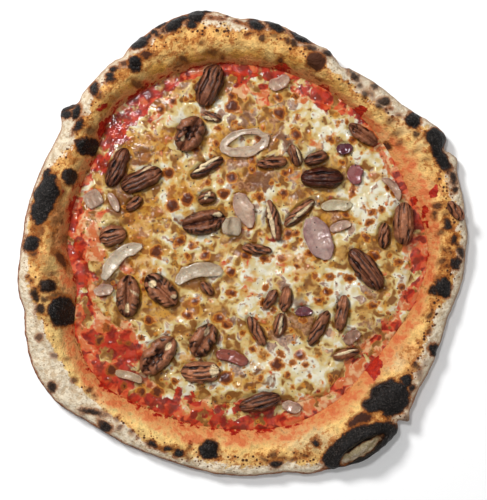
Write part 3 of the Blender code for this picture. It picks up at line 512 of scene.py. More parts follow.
def share_of(x, y, ovals, softness=0.5):
    """The strongest of the patches at each point, from 0 to 1, soft at their edges."""
    x, y = warped(x, y, 1.6)
    share = np.zeros(x.shape)
    for spot in ovals:
        share = np.maximum(share, spot.level * smooth((1 + softness - apart(x, y, spot)) / 2 / softness))
    return share


def pressed(distance, steep):
    """1 over the middle of an oval, and falling to 0 a little outside it."""
    return smooth(steep * (1.25 - distance))


def rim_section(bearing):
    """Rings of (reach, height) from the bottom edge round the outside and over the crest to the floor."""
    edge = edge_reach(bearing)
    crest = around(CREST_REACH, bearing) * MM
    foot = around(FOOT_REACH, bearing) * MM
    top = around(CREST_HEIGHT, bearing) * MM
    belly = top * BELLY_SHARE
    base = edge - UNDERCUT
    rings = []
    for t in np.linspace(0, math.pi / 2, UNDER_RINGS, endpoint=False):
        rings.append((base + (edge - base) * math.sin(t), belly * (1 - math.cos(t))))
    for t in np.linspace(0, math.pi / 2, SHOULDER_RINGS, endpoint=False):
        reach = crest + (edge - crest) * math.cos(t) ** 0.9
        rings.append((reach, belly + (top - belly) * math.sin(t) ** 0.8))
    for t in np.linspace(0, 1, SLOPE_RINGS):
        puffed = (1 - t**2.2) ** 0.7
        height = PUFF * puffed + (1 - PUFF) * (1 - smooth(t))
        rings.append((crest + (foot - crest) * t, FLOOR + (top - FLOOR) * height))
    return np.array(rings)


def rim_relief(points):
    """How far each point of the rim stands proud of its plain section."""
    x, y = points[..., 0], points[..., 1]
    proud = layered(points, RIM_LUMPS, MM)
    for spot in BLISTERS + [BUBBLE]:
        proud = proud + spot.level * MM * dome(apart(x, y, spot))
    return proud + BUBBLE_HOLE.level * MM * pressed(apart(x, y, BUBBLE_HOLE), 1.8)


def edge_noise(bearing, layers):
    """Noise along an edge, read on one circle of 100 mm however far out the edge is."""
    return layered(flat_points(np.cos(bearing), np.sin(bearing)) * 100 * MM, layers, MM)


def cheese_reach(bearing):
    """The uneven edge that the cheese melted out to, held just inside the rim."""
    reach = around(CHEESE_REACH, bearing) * MM + edge_noise(bearing, CHEESE_EDGE)
    return np.minimum(reach, around(FOOT_REACH, bearing) * MM - CHEESE_INSET)


def sauce_reach(bearing):
    return around(FOOT_REACH, bearing) * MM + SAUCE_OVERLAP + edge_noise(bearing, SAUCE_EDGE)


def linear(colour):
    """A screen colour in bytes, as it looks in the studio's light, as the values that a shader takes."""
    share = np.array(colour, float) / 255
    return np.where(share > 0.04045, ((share + 0.055) / 1.055) ** 2.4, share / 12.92) / STUDIO_GAIN


def blend(under, over, share):
    share = np.asarray(share)[..., None]
    return under * (1 - share) + over * share


def tinted(colours, x, y, tints):
    """Colours with every patch of the tints laid on them."""
    for colour, ovals in tints:
        colours = blend(colours, linear(colour), share_of(x, y, ovals))
    return colours


def outward(rows):
    """Unit normals of a surface given as closed rings that run up its outside and over its top."""
    round_way = np.roll(rows, -1, axis=1) - np.roll(rows, 1, axis=1)
    over_way = np.gradient(rows, axis=0)
    normal = np.cross(round_way, over_way)
    return normal / np.maximum(np.linalg.norm(normal, axis=-1, keepdims=True), 1e-12)


# Meshes

def skin(name, rows, ends, finish, fields):
    """An object over closed rings of points, with values at them. Each end is a flat cap or a tip; no
    ends make a loop."""
    count, sides = rows.shape[:2]
    points = [rows.reshape(-1, 3)]
    index = np.arange(count * sides).reshape(count, sides)
    near, far = (index, np.roll(index, -1, axis=0)) if ends is None else (index[:-1], index[1:])
    quads = np.stack([near, np.roll(near, -1, axis=1), np.roll(far, -1, axis=1), far], axis=-1).reshape(-1, 4)
    faces = quads.tolist()
    extra = []
    caps = [] if ends is None else [(index[0], ends[0], True), (index[-1], ends[1], False)]
    for ring, tip, backwards in caps:
        if tip is None:
            faces.append(ring[::-1].tolist() if backwards else ring.tolist())
            continue
        point = count * sides + len(extra)
        extra.append((tip, ring[0]))
        for a, b in zip(ring, np.roll(ring, -1)):
            faces.append([int(b), int(a), point] if backwards else [int(a), int(b), point])
    if extra:
        points.append(np.array([tip for tip, _ in extra], float))
    points = np.concatenate(points)
    data = bpy.data.meshes.new(name)
    data.from_pydata(points.tolist(), [], faces)
    if volume(data) < 0:
        data.flip_normals()
    for field, values in fields.items():
        flat = values.reshape(count * sides, -1)
        if extra:
            flat = np.concatenate([flat, flat[[beside for _, beside in extra]]])
        put_field(data, field, flat)
    data.materials.append(finish)
    data.shade_smooth()
    made = bpy.data.objects.new(name, data)
    bpy.context.scene.collection.objects.link(made)
    return made


def put_field(data, field, flat):
    """Stores a colour (three values a point) or a plain number for every point of a mesh."""
    if flat.shape[1] == 3:
        flat = np.concatenate([np.clip(flat, 0, 1), np.ones((len(flat), 1))], axis=1)
        layer = data.attributes.new(field, "FLOAT_COLOR", "POINT")
        layer.data.foreach_set("color", flat.astype(np.float32).ravel())
    else:
        layer = data.attributes.new(field, "FLOAT", "POINT")
        layer.data.foreach_set("value", flat.astype(np.float32).ravel())


def volume(data):
    """Six times the signed volume inside a closed mesh, more than 0 if its faces look outwards."""
    data.calc_loop_triangles()
    corners = np.zeros(len(data.loop_triangles) * 3, np.int32)
    data.loop_triangles.foreach_get("vertices", corners)
    places = np.zeros(len(data.vertices) * 3)
    data.vertices.foreach_get("co", places)
    a, b, c = places.reshape(-1, 3)[corners.reshape(-1, 3)].transpose(1, 0, 2)
    return float(np.einsum("ij,ij->i", a, np.cross(b, c)).sum())


# Materials

class Finish:
    """A procedural material, built node by node. Its methods return the output of the node they add."""

    def __init__(self, name):
        self.made = bpy.data.materials.new(name)
        self.made.use_nodes = True
        self.tree = self.made.node_tree
        self.surface = self.tree.nodes["Principled BSDF"]
        self.place = self.add("ShaderNodeTexCoord").outputs["Object"]

    def add(self, kind, inputs=(), **settings):
        node = self.tree.nodes.new(kind)
        for name, value in settings.items():
            setattr(node, name, value)
        for socket, value in dict(inputs).items():
            self.put(node.inputs[socket], value)
        return node

    def put(self, socket, value):
        if isinstance(value, bpy.types.NodeSocket):
            self.tree.links.new(value, socket)
        else:
            socket.default_value = value

    def field(self, name, output="Fac"):
        return self.add("ShaderNodeAttribute", attribute_name=name).outputs[output]

    def noise(self, size, detail=2.0, rough=0.5, twist=0.0):
        """Cloudy noise about 0.5 with lumps of about the given size in millimetres."""
        return self.add("ShaderNodeTexNoise", {
            "Vector": self.place, "Scale": 1 / (size * MM), "Detail": detail, "Roughness": rough,
            "Distortion": twist}).outputs["Fac"]

    def cells(self, size):
        """Cells of about the given size in millimetres: a random value for each, and how far its middle is."""
        outputs = self.add("ShaderNodeTexVoronoi", {"Vector": self.place, "Scale": 1 / (size * MM)}).outputs
        return outputs["Color"], outputs["Distance"]

    def maths(self, what, a, b=0.0):
        return self.add("ShaderNodeMath", {0: a, 1: b}, operation=what).outputs[0]

    def total(self, start, *parts):
        """start plus times * (value + offset) for each part (value, times, offset). A noise, which lies about
        0.5, leaves the offset out and is taken about 0."""
        for value, times, *offset in parts:
            moved = self.maths("ADD", value, *(offset or [-0.5]))
            start = self.maths("ADD", start, self.maths("MULTIPLY", moved, times))
        return start

    def step(self, value, low, high, bottom=0.0, top=1.0):
        return self.add("ShaderNodeMapRange", {
            "Value": value, "From Min": low, "From Max": high, "To Min": bottom, "To Max": top},
            interpolation_type="SMOOTHSTEP").outputs["Result"]

    def mix(self, under, over, share):
        under, over = (colour if isinstance(colour, bpy.types.NodeSocket) else (*linear(colour), 1)
                       for colour in (under, over))
        return self.add("ShaderNodeMix", {0: share, 6: under, 7: over}, data_type="RGBA").outputs[2]

    def lay(self, colour, over, value, low, high, most=1.0, where=None):
        """The colour with another laid on it as a value rises from low to high, times a share if given."""
        share = self.step(value, low, high, 0, most)
        return self.mix(colour, over, share if where is None else self.maths("MULTIPLY", share, where))

    def scaled(self, colour, times):
        return self.add("ShaderNodeVectorMath", {0: colour, "Scale": times}, operation="SCALE").outputs[0]

    def bumps(self, *layers):
        """A normal for heights from 0 to 1, as layers of (height, its distance in millimetres, strength)."""
        under = {}
        for height, distance, strength in layers:
            inputs = {"Height": height, "Distance": distance * MM, "Strength": strength, **under}
            under = {"Normal": self.add("ShaderNodeBump", inputs).outputs["Normal"]}
        return under["Normal"]

    def soften(self, weight, radius):
        """Lets light into the surface, as deep as the radius in millimetres for red, green and blue."""
        self.surface.inputs["Subsurface Weight"].default_value = weight
        self.surface.inputs["Subsurface Radius"].default_value = [depth * MM for depth in radius]
        self.surface.inputs["Subsurface Scale"].default_value = 1

    def gloss(self, weight, rough, specular=0.5):
        """A clear wet coat, and how much the surface below it shines."""
        self.surface.inputs["Coat Weight"].default_value = weight
        self.surface.inputs["Coat Roughness"].default_value = rough
        self.surface.inputs["Specular IOR Level"].default_value = specular

    def finish(self, **sockets):
        for name, value in sockets.items():
            self.put(self.surface.inputs[name.replace("_", " ")], value)
        return self.made


def sauce_look(made):
    """Colour of sauce: an orange film over paler dough, and deep red where it lies thick."""
    broad, middle = made.noise(11, 2, 0.5, 0.5), made.noise(5, 2, 0.45, 0.4)
    film = made.mix(FILM, FILM_PALE, made.step(middle, 0.42, 0.6))
    red = made.mix(RED, DEEP_RED, made.step(middle, 0.42, 0.62))
    share = made.total(made.field("red"), (broad, 2.6), (middle, 1.2))
    colour = made.mix(film, THIN_RED, made.step(share, 0.2, 0.38))
    return made.mix(colour, red, made.step(share, 0.38, 0.55))


def dough_finish():
    """Dough that is toasted, stained by sauce, floury, specked, scorched and charred in places, with painted
    glints on the char.
    """
    made = Finish("Baked dough")
    coarse, middle, fine = made.noise(9, 3, 0.55), made.noise(3, 4, 0.6), made.noise(1.1, 3, 0.6)
    tone = made.total(1.0, (coarse, 0.9), (middle, 1.3), (fine, 0.8))
    colour = made.scaled(made.field("tint", "Color"), tone)

    browned = made.total(made.field("toast"), (made.noise(4.5, 5, 0.65), 3.6), (fine, 1.2))
    colour = made.lay(colour, TOASTED, browned, 0.5, 0.85, 0.8)
    colour = made.lay(colour, TOASTED_DARK, browned, 0.95, 1.25, 0.8)

    stain = made.total(made.field("stain"), (coarse, 3.4), (middle, 2.0))
    colour = made.lay(colour, STAINED, stain, 0.2, 0.9, 0.75)
    colour = made.lay(colour, STAINED_RED, stain, 0.8, 1.5, 0.75)
    red = made.total(made.field("red"), (coarse, 1.8), (middle, 1.2))
    wet = made.step(red, 0.42, 0.58)
    colour = made.mix(colour, made.mix(SMEAR, SMEAR_DARK, made.step(middle, 0.4, 0.62)), wet)

    flour = made.total(made.field("flour"), (coarse, 10), (middle, 9), (fine, 5))
    dusty = made.scaled(made.mix(FLOURY, FLOURY_LIGHT, made.step(middle, 0.38, 0.58)),
                        made.total(1.0, (coarse, 0.6), (fine, 0.6)))
    colour = made.mix(colour, dusty, made.step(flour, -1.2, 1.2))

    chance, off_middle = made.cells(2.4)
    size = made.maths("MULTIPLY", chance, made.field("specks"))
    speck = made.maths("SUBTRACT", made.maths("MULTIPLY", size, 0.5), off_middle)
    speck = made.total(speck, (fine, 0.3))
    colour = made.lay(colour, SPECK_HALO, speck, -0.14, 0.0, 0.75)
    colour = made.lay(colour, SPECK, speck, 0.0, 0.08, 0.95)

    scorch = made.total(made.field("scorch"), (middle, 3), (fine, 2))
    level = made.field("scorch_level")
    colour = made.lay(colour, SCORCH_HALO, scorch, -1.8, 0.0, where=level)
    colour = made.lay(colour, SCORCHED, scorch, -0.2, 0.9, where=level)

    burn = made.total(made.field("char"), (coarse, 3), (middle, 3), (fine, 2))
    level = made.field("char_level")
    halo = made.total(burn, (made.noise(4, 4, 0.65), 6))
    colour = made.lay(colour, CHAR_HALO, halo, -3.0, -0.8, 0.85, level)
    colour = made.lay(colour, CHAR_EDGE, burn, -1.5, -0.1, where=level)
    black = made.maths("MULTIPLY", made.step(burn, -0.3, 0.5), level)
    # Black char with grey flecks, painted glints
    colour = made.mix(colour, made.mix(BLACK, CHAR_GLINT, made.step(fine, 0.48, 0.75)), black)

    under = made.field("under")
    patchy = made.noise(11, 3)
    colour = made.lay(colour, BASE_BROWN, patchy, 0.45, 0.55, 0.7, under)
    colour = made.lay(colour, BASE_BURNT, patchy, 0.57, 0.64, 0.95, under)

    rough = made.total(0.66, (black, -0.26, 0), (made.field("oil"), -0.3, 0), (wet, -0.2, 0), (middle, 0.6))
    made.gloss(0, 0, 0.15)
    normal = made.bumps((middle, 1.6, 0.9), (fine, 0.7, 0.9))
    return made.finish(Base_Color=colour, Roughness=rough, Normal=normal)


def wet_finish(name):
    """Melted cheese with white curd, amber oil and toasted blisters, sauce where the cheese is thin, and
    painted shade round the toppings and in dark patches.
    """
    made = Finish(name)
    pool, cloud, grain = made.noise(13, 1.5, 0.45, 0.3), made.noise(6, 2, 0.4, 0.4), made.noise(1.6, 2)
    colour = made.mix(MELT_DARK, MELT, made.step(cloud, 0.38, 0.58))
    colour = made.scaled(colour, made.total(1.0, (grain, 0.5)))
    curd = made.total(0.3, (made.field("white"), 0.7, 0), (pool, 2.8), (cloud, 2.2))
    colour = made.lay(colour, CREAM, curd, 0.15, 0.45)
    white = made.mix(WHITE_DULL, WHITE, made.step(cloud, 0.4, 0.56))
    colour = made.mix(colour, white, made.step(curd, 0.4, 0.85))
    cooked = made.total(made.field("cooked"), (made.noise(6, 2, 0.5, 0.4), 4.5))
    onion = made.mix(COOKED_DARK, COOKED_PALE, made.step(grain, 0.4, 0.62))
    colour = made.lay(colour, onion, cooked, 0.4, 0.8, 0.8)
    # Orange and deep oil, and at one patch painted shade between two nuts
    oil = made.total(made.field("oil_and_shade"), (made.noise(9, 2, 0.45, 0.4), 4.0), (grain, 0.6))
    colour = made.lay(colour, OIL, oil, 0.3, 0.75, 0.75)
    colour = made.lay(colour, OIL_DEEP, oil, 0.85, 1.15, 0.85)
    thin = made.total(made.field("thin"), (made.noise(9, 3, 0.5, 0.3), 3.2), (cloud, 1.2))
    colour = made.mix(colour, sauce_look(made), made.step(thin, 0.5, 0.75, 0, 0.95))
    covered = made.step(thin, 0.5, 0.75, 1, 0)
    # Painted shade, with some darker juice: dark red over sauce, dark amber over cheese
    shade_and_juice = made.total(made.field("shade_and_juice"), (cloud, 2.4))
    colour = made.lay(colour, made.mix(SHADE_AND_JUICE_RED, SHADE_AND_JUICE_AMBER, covered), shade_and_juice, 0.5, 1.0, 0.8)

    chance, off_middle = made.cells(7)
    toasted = made.total(0.42, (made.noise(16, 2), 3.0))
    size = made.maths("MULTIPLY", chance, made.step(toasted, 0.3, 0.8, 0.08, 0.36))
    size = made.maths("MULTIPLY", size, made.maths("MULTIPLY", covered, made.step(curd, 0.6, 1.0, 1, 0.45)))
    small = made.maths("MULTIPLY", made.maths("SUBTRACT", size, off_middle), 7)
    burn = made.maths("MAXIMUM", made.field("brown"), small)
    burn = made.total(burn, (cloud, 1.6), (made.noise(2.4, 2), 2.6), (grain, 1.4))
    halo = made.maths("MULTIPLY", made.step(burn, -1.3, -0.5, 0, 0.85), made.step(covered, 0, 1, 0.15, 1))
    colour = made.mix(colour, TOAST_HALO, halo)
    colour = made.lay(colour, TOAST_BROWN, burn, -0.4, 0.1, 0.95)
    colour = made.lay(colour, TOAST_BURNT, burn, 0.6, 1.4, 0.9)

    rough = made.total(0.45, (grain, 0.5))
    normal = made.bumps((cloud, 1.2, 0.8), (grain, 0.2, 0.7))
    made.soften(0.1, (1.5, 0.8, 0.4))
    made.gloss(0.3, 0.05, 0.12)
    return made.finish(Base_Color=colour, Roughness=rough, Normal=normal, Coat_Normal=normal)


def nut_finish():
    made = Finish("Pecan")
    middle, fine = made.noise(2.0, 3, 0.6), made.noise(0.7, 3, 0.6)
    colour = made.scaled(made.field("tint", "Color"), made.total(1.0, (middle, 1.6), (fine, 1.0)))
    rough = made.total(0.42, (middle, 0.6), (made.field("cut"), 0.2, 0))
    normal = made.bumps((middle, 0.7, 0.7), (fine, 0.25, 0.7))
    made.gloss(0.15, 0.15, 0.22)
    return made.finish(Base_Color=colour, Roughness=rough, Normal=normal, Coat_Normal=normal)


def onion_finish():
    made = Finish("Red onion")
    middle, fine = made.noise(2.5, 2), made.noise(0.8, 2)
    colour = made.scaled(made.field("tint", "Color"), made.total(1.0, (middle, 0.7), (fine, 0.4)))
    rough = made.total(0.2, (middle, 0.3))
    normal = made.bumps((middle, 0.6, 0.7))
    made.soften(0.3, (1.5, 0.9, 0.7))
    made.gloss(0.4, 0.06, 0.3)
    made.surface.inputs["Transmission Weight"].default_value = 0.45
    made.surface.inputs["IOR"].default_value = 1.4
    return made.finish(Base_Color=colour, Roughness=rough, Normal=normal, Coat_Normal=normal)


def pepper_finish():
    made = Finish("Pepper")
    colour = made.mix(PEPPER_DARK, PEPPER_LIGHT, made.step(made.noise(1.3, 2), 0.4, 0.65))
    return made.finish(Base_Color=colour, Roughness=made.total(0.5, (made.noise(0.7), 0.3)))


# Pieces

def node_middle(node):
    low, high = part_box(node)
    return (Vector(low) + Vector(high)) / 2


def table_shift():
    """Where the zero of the tables is in the frame, from the nuts whose box is centred on their place."""
    moves = []
    for number, piece in enumerate(PECANS, 1):
        if piece.kind in ("back", "front") and not piece.lean:
            middle = node_middle(f"pecan_{number:02}")
            moves.append((middle.x - piece.x * MM, middle.y - piece.y * MM, 0))
    return np.median(np.array(moves), axis=0)


def dress(made, nodes):
    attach(made, "root")
    if nodes:
        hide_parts(*nodes)
    return made


def crust():
    bearing = np.linspace(0, math.tau, BEARINGS, endpoint=False)
    rings = rim_section(bearing)
    reach, height = rings[:, 0], rings[:, 1]
    rows = np.stack([reach * np.cos(bearing), reach * np.sin(bearing), height], axis=-1)
    # The relief fades out towards the base and towards the foot of the rim
    ease = (smooth(np.linspace(0, 6, len(rows))) * smooth(np.linspace(3, 0, len(rows))))[:, None]
    rows[..., 2] += ease * rim_relief(rows) * smooth((height - FLOOR / 2) / FLOOR)

    x, y = rows[..., 0], rows[..., 1]
    char, char_level = inside(x, y, CHARS)
    crumb, _ = inside(x, y, [BUBBLE_CRUMB])
    char = np.minimum(char, -2.5 * crumb)
    grain = layered(rows, RIM_GRAIN, MM) + CHAR_RISE * smooth(0.5 + char / 2)
    rows = rows + outward(rows) * (grain * ease * smooth((height - 1 * MM) / (2 * MM)))[..., None]
    fields = crust_fields(rows, x, y, bearing, smooth((crumb + 0.8) / 1.2))
    made = skin("Crust", rows + SHIFT, (None, None), dough_finish(),
                {**fields, "char": char, "char_level": char_level})
    return dress(made, ["crust"])


def crust_fields(rows, x, y, bearing, in_bubble):
    """Values for the shader of the dough. The inner side runs from 0 at the crest to 1 at the foot."""
    ring = np.arange(len(rows))[:, None]
    inner = np.clip((ring - UNDER_RINGS - SHOULDER_RINGS) / (SLOPE_RINGS - 1), 0, 1)
    from_edge = (edge_reach(bearing) - np.hypot(x, y)) / MM
    lumps = layered(rows, RIM_PATCHES)
    flour = around(FLOUR_WIDTH, bearing) + 1.5 * lumps - from_edge - 25 * inner
    golden = np.clip(around(TOAST, bearing) - 0.5 * inner + 0.2 * lumps, 0, 1)

    tint = blend(linear(GOLDEN) * np.ones(rows.shape), linear(ORANGE), golden)
    # Painted shade down the inner wall, deepest where it faces away from the key light
    shade = np.clip(around(WALL_PAINTED_SHADE, bearing) + 0.2 * lumps, 0, 1)
    wall = blend(linear(WALL_LIGHT) * np.ones(rows.shape), linear(WALL_SHADED), shade)
    tint = blend(tint, wall, smooth((inner - 0.45 + 0.1 * lumps) / 0.35))
    # The rim's tints bring painted shade to its shaded inner wall, as well as the real patches of the dough
    tint = blend(tinted(tint, x, y, RIM_TINTS), linear(CRUMB), in_bubble)

    stain = 1.15 * smooth((around(STAIN, bearing) - (1 - inner)) / 0.35 + 0.5) * (inner > 0)
    specks = around(SPECKS, bearing) * np.exp(-(((flour + 3) / 6) ** 2)) + 0.12
    scorch, scorch_level = inside(x, y, SCORCHES)
    burnt_edge = np.where(inner > 0, -9, 0.6 - from_edge)
    scorch_level = np.where(burnt_edge > scorch, around(EDGE_BURN, bearing), scorch_level)
    crust_alone = 1 - in_bubble
    return {
        "tint": tint, "scorch": np.maximum(scorch, burnt_edge), "scorch_level": scorch_level, "flour": flour,
        "toast": golden * crust_alone * (flour < 4), "specks": specks * crust_alone,
        "stain": stain * crust_alone, "under": (ring < 3) * np.ones(x.shape),
        "red": sauce_share(x, y) * smooth(inner * 6), "oil": smooth(inner * 2) * np.ones(x.shape),
    }


def layer_rows(reach, top, under, lip, rings):
    """Rings of a flat-bottomed layer: out along its top from near the middle, then down its rounded lip."""
    bearing = np.linspace(0, math.tau, LAYER_BEARINGS, endpoint=False)
    limit = reach(bearing)
    rows = []
    for share in np.linspace(0.005, 1, rings) ** 0.75:
        x, y = limit * share * np.cos(bearing), limit * share * np.sin(bearing)
        inward = np.clip((1 - share) * limit / lip, 0, 1)
        fall = (1 - inward) ** 1.6
        rows.append(np.stack([x, y, under + (top(x, y) - under) * (1 - 0.96 * fall)], axis=-1))
    rim = rows[-1].copy()
    rim[:, 2] = under
    return np.array(rows + [rim])


def sauce_top(x, y):
    return SAUCE_TOP + layered(flat_points(x, y), SAUCE_LUMPS, MM)


def sauce():
    rows = layer_rows(sauce_reach, sauce_top, SAUCE_UNDER, SAUCE_LIP, SAUCE_RINGS)
    fields = wet_fields(rows[..., 0], rows[..., 1])
    made = skin("Sauce", rows + SHIFT, ((*SHIFT[:2], SAUCE_TOP), None), wet_finish("Tomato sauce"), fields)
    return dress(made, ["sauce"])


def footprint(piece, x, y, wider):
    """Distance from a topping's middle, 1 at the edge of an oval so many millimetres wider than it."""
    return apart(x, y, Spot(piece.x, piece.y, piece.length + wider, piece.width + wider, turn=piece.turn))


def wet_fields(x, y):
    """Values for the shader of the sauce and the cheese, which match where one ends on the other."""
    past = (np.hypot(x, y) - cheese_reach(np.arctan2(y, x))) / MM
    brown, _ = inside(x, y, CHEESE_SPOTS)
    # The listed dark patches: painted shade, with some darker juice
    shade_and_juice = share_of(x, y, SHADE_AND_JUICE_PATCHES)
    # Painted shadow round each topping, moved towards the lower right, away from the key light
    for piece in PECANS + ONIONS:
        level = NUT_SHADE if piece in PECANS else ONION_SHADE
        off = footprint(piece, x - SHADE_MOVE[0], y - SHADE_MOVE[1], SHADE_WIDER)
        shade_and_juice = np.maximum(shade_and_juice, level * smooth((1.1 - off) / 0.35))
    return {
        "white": share_of(x, y, WHITE_CURD), "oil_and_shade": share_of(x, y, OIL_AND_SHADE), "red": sauce_share(x, y),
        "thin": np.maximum(share_of(x, y, THIN), 0.95 * smooth((past + 6) / 7)),
        "cooked": share_of(x, y, COOKED), "brown": brown, "shade_and_juice": shade_and_juice,
    }


def sauce_share(x, y):
    """How much red sauce shows: in its patches, and along the foot of the rim."""
    bearing = np.arctan2(y, x)
    off_band = np.abs(around(FOOT_REACH, bearing) - FOOT_BAND_INSET - np.hypot(x, y) / MM)
    band = smooth((FOOT_BAND_HALF - off_band) / FOOT_BAND_FADE)
    return np.maximum(share_of(x, y, RED_SAUCE), around(FOOT_RED, bearing) * band)


def cheese_top(x, y):
    """Lumpy melted cheese, pressed flat where a topping lies on it and drawn up round its foot."""
    height = CHEESE_TOP + layered(flat_points(x, y), CHEESE_LUMPS, MM)
    for spot in CHEESE_SPOTS:
        height = height + TOAST_RISE * dome(apart(x, y, spot))
    for piece in PECANS + ONIONS:
        height = height + (SEAT_LEVEL - height) * pressed(footprint(piece, x, y, 1), 2.2)
    return height


def cheese():
    rows = layer_rows(cheese_reach, cheese_top, CHEESE_UNDER, CHEESE_LIP, CHEESE_RINGS)
    fields = wet_fields(rows[..., 0], rows[..., 1])
    middle = Vector((SHIFT[0], SHIFT[1], float(cheese_top(np.zeros(1), np.zeros(1))[0])))
    made = skin("Cheese", rows + SHIFT, (middle, None), wet_finish("Melted cheese"), fields)
    return dress(made, ["cheese"])


def turned(piece):
    """The rotation of a topping: about the upright by its turn, then leaning towards a bearing."""
    toward = math.radians(piece.toward)
    hinge = Vector((-math.sin(toward), math.cos(toward), 0))
    lean = Matrix.Rotation(math.radians(piece.lean), 3, hinge)
    return lean @ Matrix.Rotation(math.radians(piece.turn), 3, "Z")


def settle(piece, node, *groups):
    """Turns groups of points as the topping lies, and lowers them by one move to its CAD node's underside."""
    rotation = np.array(turned(piece))
    groups = [np.asarray(points) @ rotation.T for points in groups]
    lowest = min(points[..., 2].min() for points in groups)
    move = SHIFT + np.array([piece.x * MM, piece.y * MM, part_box(node)[0][2] - lowest])
    return [points + move for points in groups]


def furrows(kind, plan, seed):
    """How deep in a furrow each place of a nut is, from 0 to 1. The places lie along and across the nut."""
    along, across = plan[..., 0] / MM, plan[..., 1] / MM
    points = flat_points(plan[..., 0], plan[..., 1])
    bent = lattice_noise(points, 9 * MM, seed) + 0.45 * lattice_noise(points, 3.2 * MM, seed + 1)
    if kind == "front":
        lobed = flat_points(along + 0.4 * np.abs(across), 0.55 * across + 9 * np.sign(across)) * MM
        crossing = lattice_noise(lobed, 2.8 * MM, seed + 8) + 0.35 * lattice_noise(points, 1.9 * MM, seed + 9)
        off = np.abs(crossing) * 0.45
    else:
        lines = (across + 1.3 * bent) / FURROW_STEP + 0.5
        if kind != "back":
            lines = (across + 0.3 * along + 1.6 * bent) / FURROW_STEP
        off = np.abs(lines - np.floor(lines) - 0.5)
    narrow = 0.11 + 0.05 * lattice_noise(points, 5 * MM, seed + 6)
    open_here = smooth(0.9 + 1.3 * lattice_noise(points, 7 * MM, seed + 2))
    return (np.exp(-((off / narrow) ** 2)) + 0.6 * np.exp(-((off / 0.28) ** 2))) / 1.6 * open_here


def pecan(number, piece, finish):
    node = f"pecan_{number:02}"
    look = NUT_LOOKS.get(number, Look())
    seed = 100 + number
    angle = np.linspace(0, math.tau, NUT_SIDES, endpoint=False)
    section = np.array(SECTIONS[piece.kind])
    side, up = around(section[:, 0], angle), np.maximum(around(section[:, 1], angle), 0)
    length, width = piece.length * MM, piece.width * MM
    rise = width * NUT_RISE[piece.kind]
    share = -np.cos(np.linspace(0, math.pi, NUT_STATIONS + 2))[1:-1, None]
    full = (1 - np.abs(share) ** TIP_FULLNESS) ** 0.5
    lift = 0.25 * rise * (1 - full)
    rows = np.stack([share * length / 2 + 0 * side, side * width / 2 * full,
                     lift + up * (rise - lift) * full**0.7], axis=-1)
    tips = [(end * length / 2, 0, 0.35 * rise) for end in (-1, 1)]

    edges = flat_points(rows[..., 0], 5 * MM * np.sign(rows[..., 1]))
    rows[..., 1] *= 0.95 + 0.12 * lattice_noise(edges, 4.5 * MM, seed + 3) * full
    plain = rows
    upper = smooth((plain[..., 2] / rise - 0.2) / 0.3)
    depth = furrows(piece.kind, plain[..., :2], seed) * upper
    wrinkles = layered(rows, [(1, 2.6, seed + 4), (0.5, 1.2, seed + 5)])
    rows = rows + outward(rows) * ((WRINKLE * wrinkles - FURROW_DEPTH * depth) * full)[..., None]

    cut = np.zeros(rows.shape[:2])
    ragged = 0.2 * lattice_noise(plain, 1.6 * MM, seed + 7)
    for spot in spots(look.cuts):
        off = apart(plain[..., 0], plain[..., 1], spot)
        cut = np.maximum(cut, spot.level * smooth((1.15 + ragged - off) / 0.3))
    height = plain[..., 2] / rise
    cut = cut * (height > 0.25)
    # Each nut's own tone, made lighter on its tops and raised wrinkles as painted light
    light = np.clip(look.tone + 0.15 + 0.5 * (height - 0.7) + 0.2 * wrinkles, 0, 1)
    tint = blend(linear(NUT_DARK) * np.ones(rows.shape), linear(NUT_LIGHT), light)
    # Darker in the furrows, painted shade
    tint = blend(tint, linear(NUT_FURROW_SHADE), np.clip(1.5 * depth, 0, 0.97))
    tint = blend(tint, linear(NUT_FLESH), cut)
    rows, tips = settle(piece, node, rows, tips)
    made = skin(node.replace("pecan", "Pecan"), rows, tips, finish, {"tint": tint, "cut": cut})
    return dress(made, [node])


def slice_section():
    """Places round the section of a slice of onion, as shares across it and up through its thickness."""
    across = np.linspace(1, -1, ONION_SIDES)
    across = np.concatenate([across, across[::-1]])
    level = np.repeat([0.0, 1.0], ONION_SIDES)
    return across, np.where(np.abs(across) > 0.99, 0.5 + 0.3 * (level - 0.5) * 2, level)


def slice_ring(middle, sideways, half, height, cup):
    """The section of a slice of onion, with the long edges turned up by the cup."""
    across, level = slice_section()
    plan = middle + np.outer(across * half, sideways)
    return np.column_stack([plan, height + cup * np.abs(across) ** 1.5 + level * ONION_THICK])


def onion_rows(piece):
    """Rings along a limp slice of onion, which curves in plan and turns up at its long edges."""
    shape = ONION_SHAPES[piece.kind]
    length, width = piece.length * MM, piece.width * MM
    bend = math.radians(shape.bend)
    rows = []
    for share in np.linspace(-1, 1, ONION_STATIONS):
        turn = bend * share / 2
        half = width / 2 * max(1 - abs(share) ** shape.fullness, END_WIDTH) ** 0.5
        middle = np.array([length / 2 * share, 0]) if not bend else (
            length / (2 * math.sin(bend / 2)) * np.array([math.sin(turn), math.cos(turn) - 1]))
        sideways = np.array([math.sin(turn), math.cos(turn)])
        wave = ONION_WAVE * (1 + math.sin(WAVE_TURNS * share + piece.x))
        rows.append(slice_ring(middle, sideways, half, wave, shape.cup * MM * half / (width / 2)))
    rows = np.array(rows)
    rows[..., 1] -= (rows[..., 1].max() + rows[..., 1].min()) / 2
    return rows


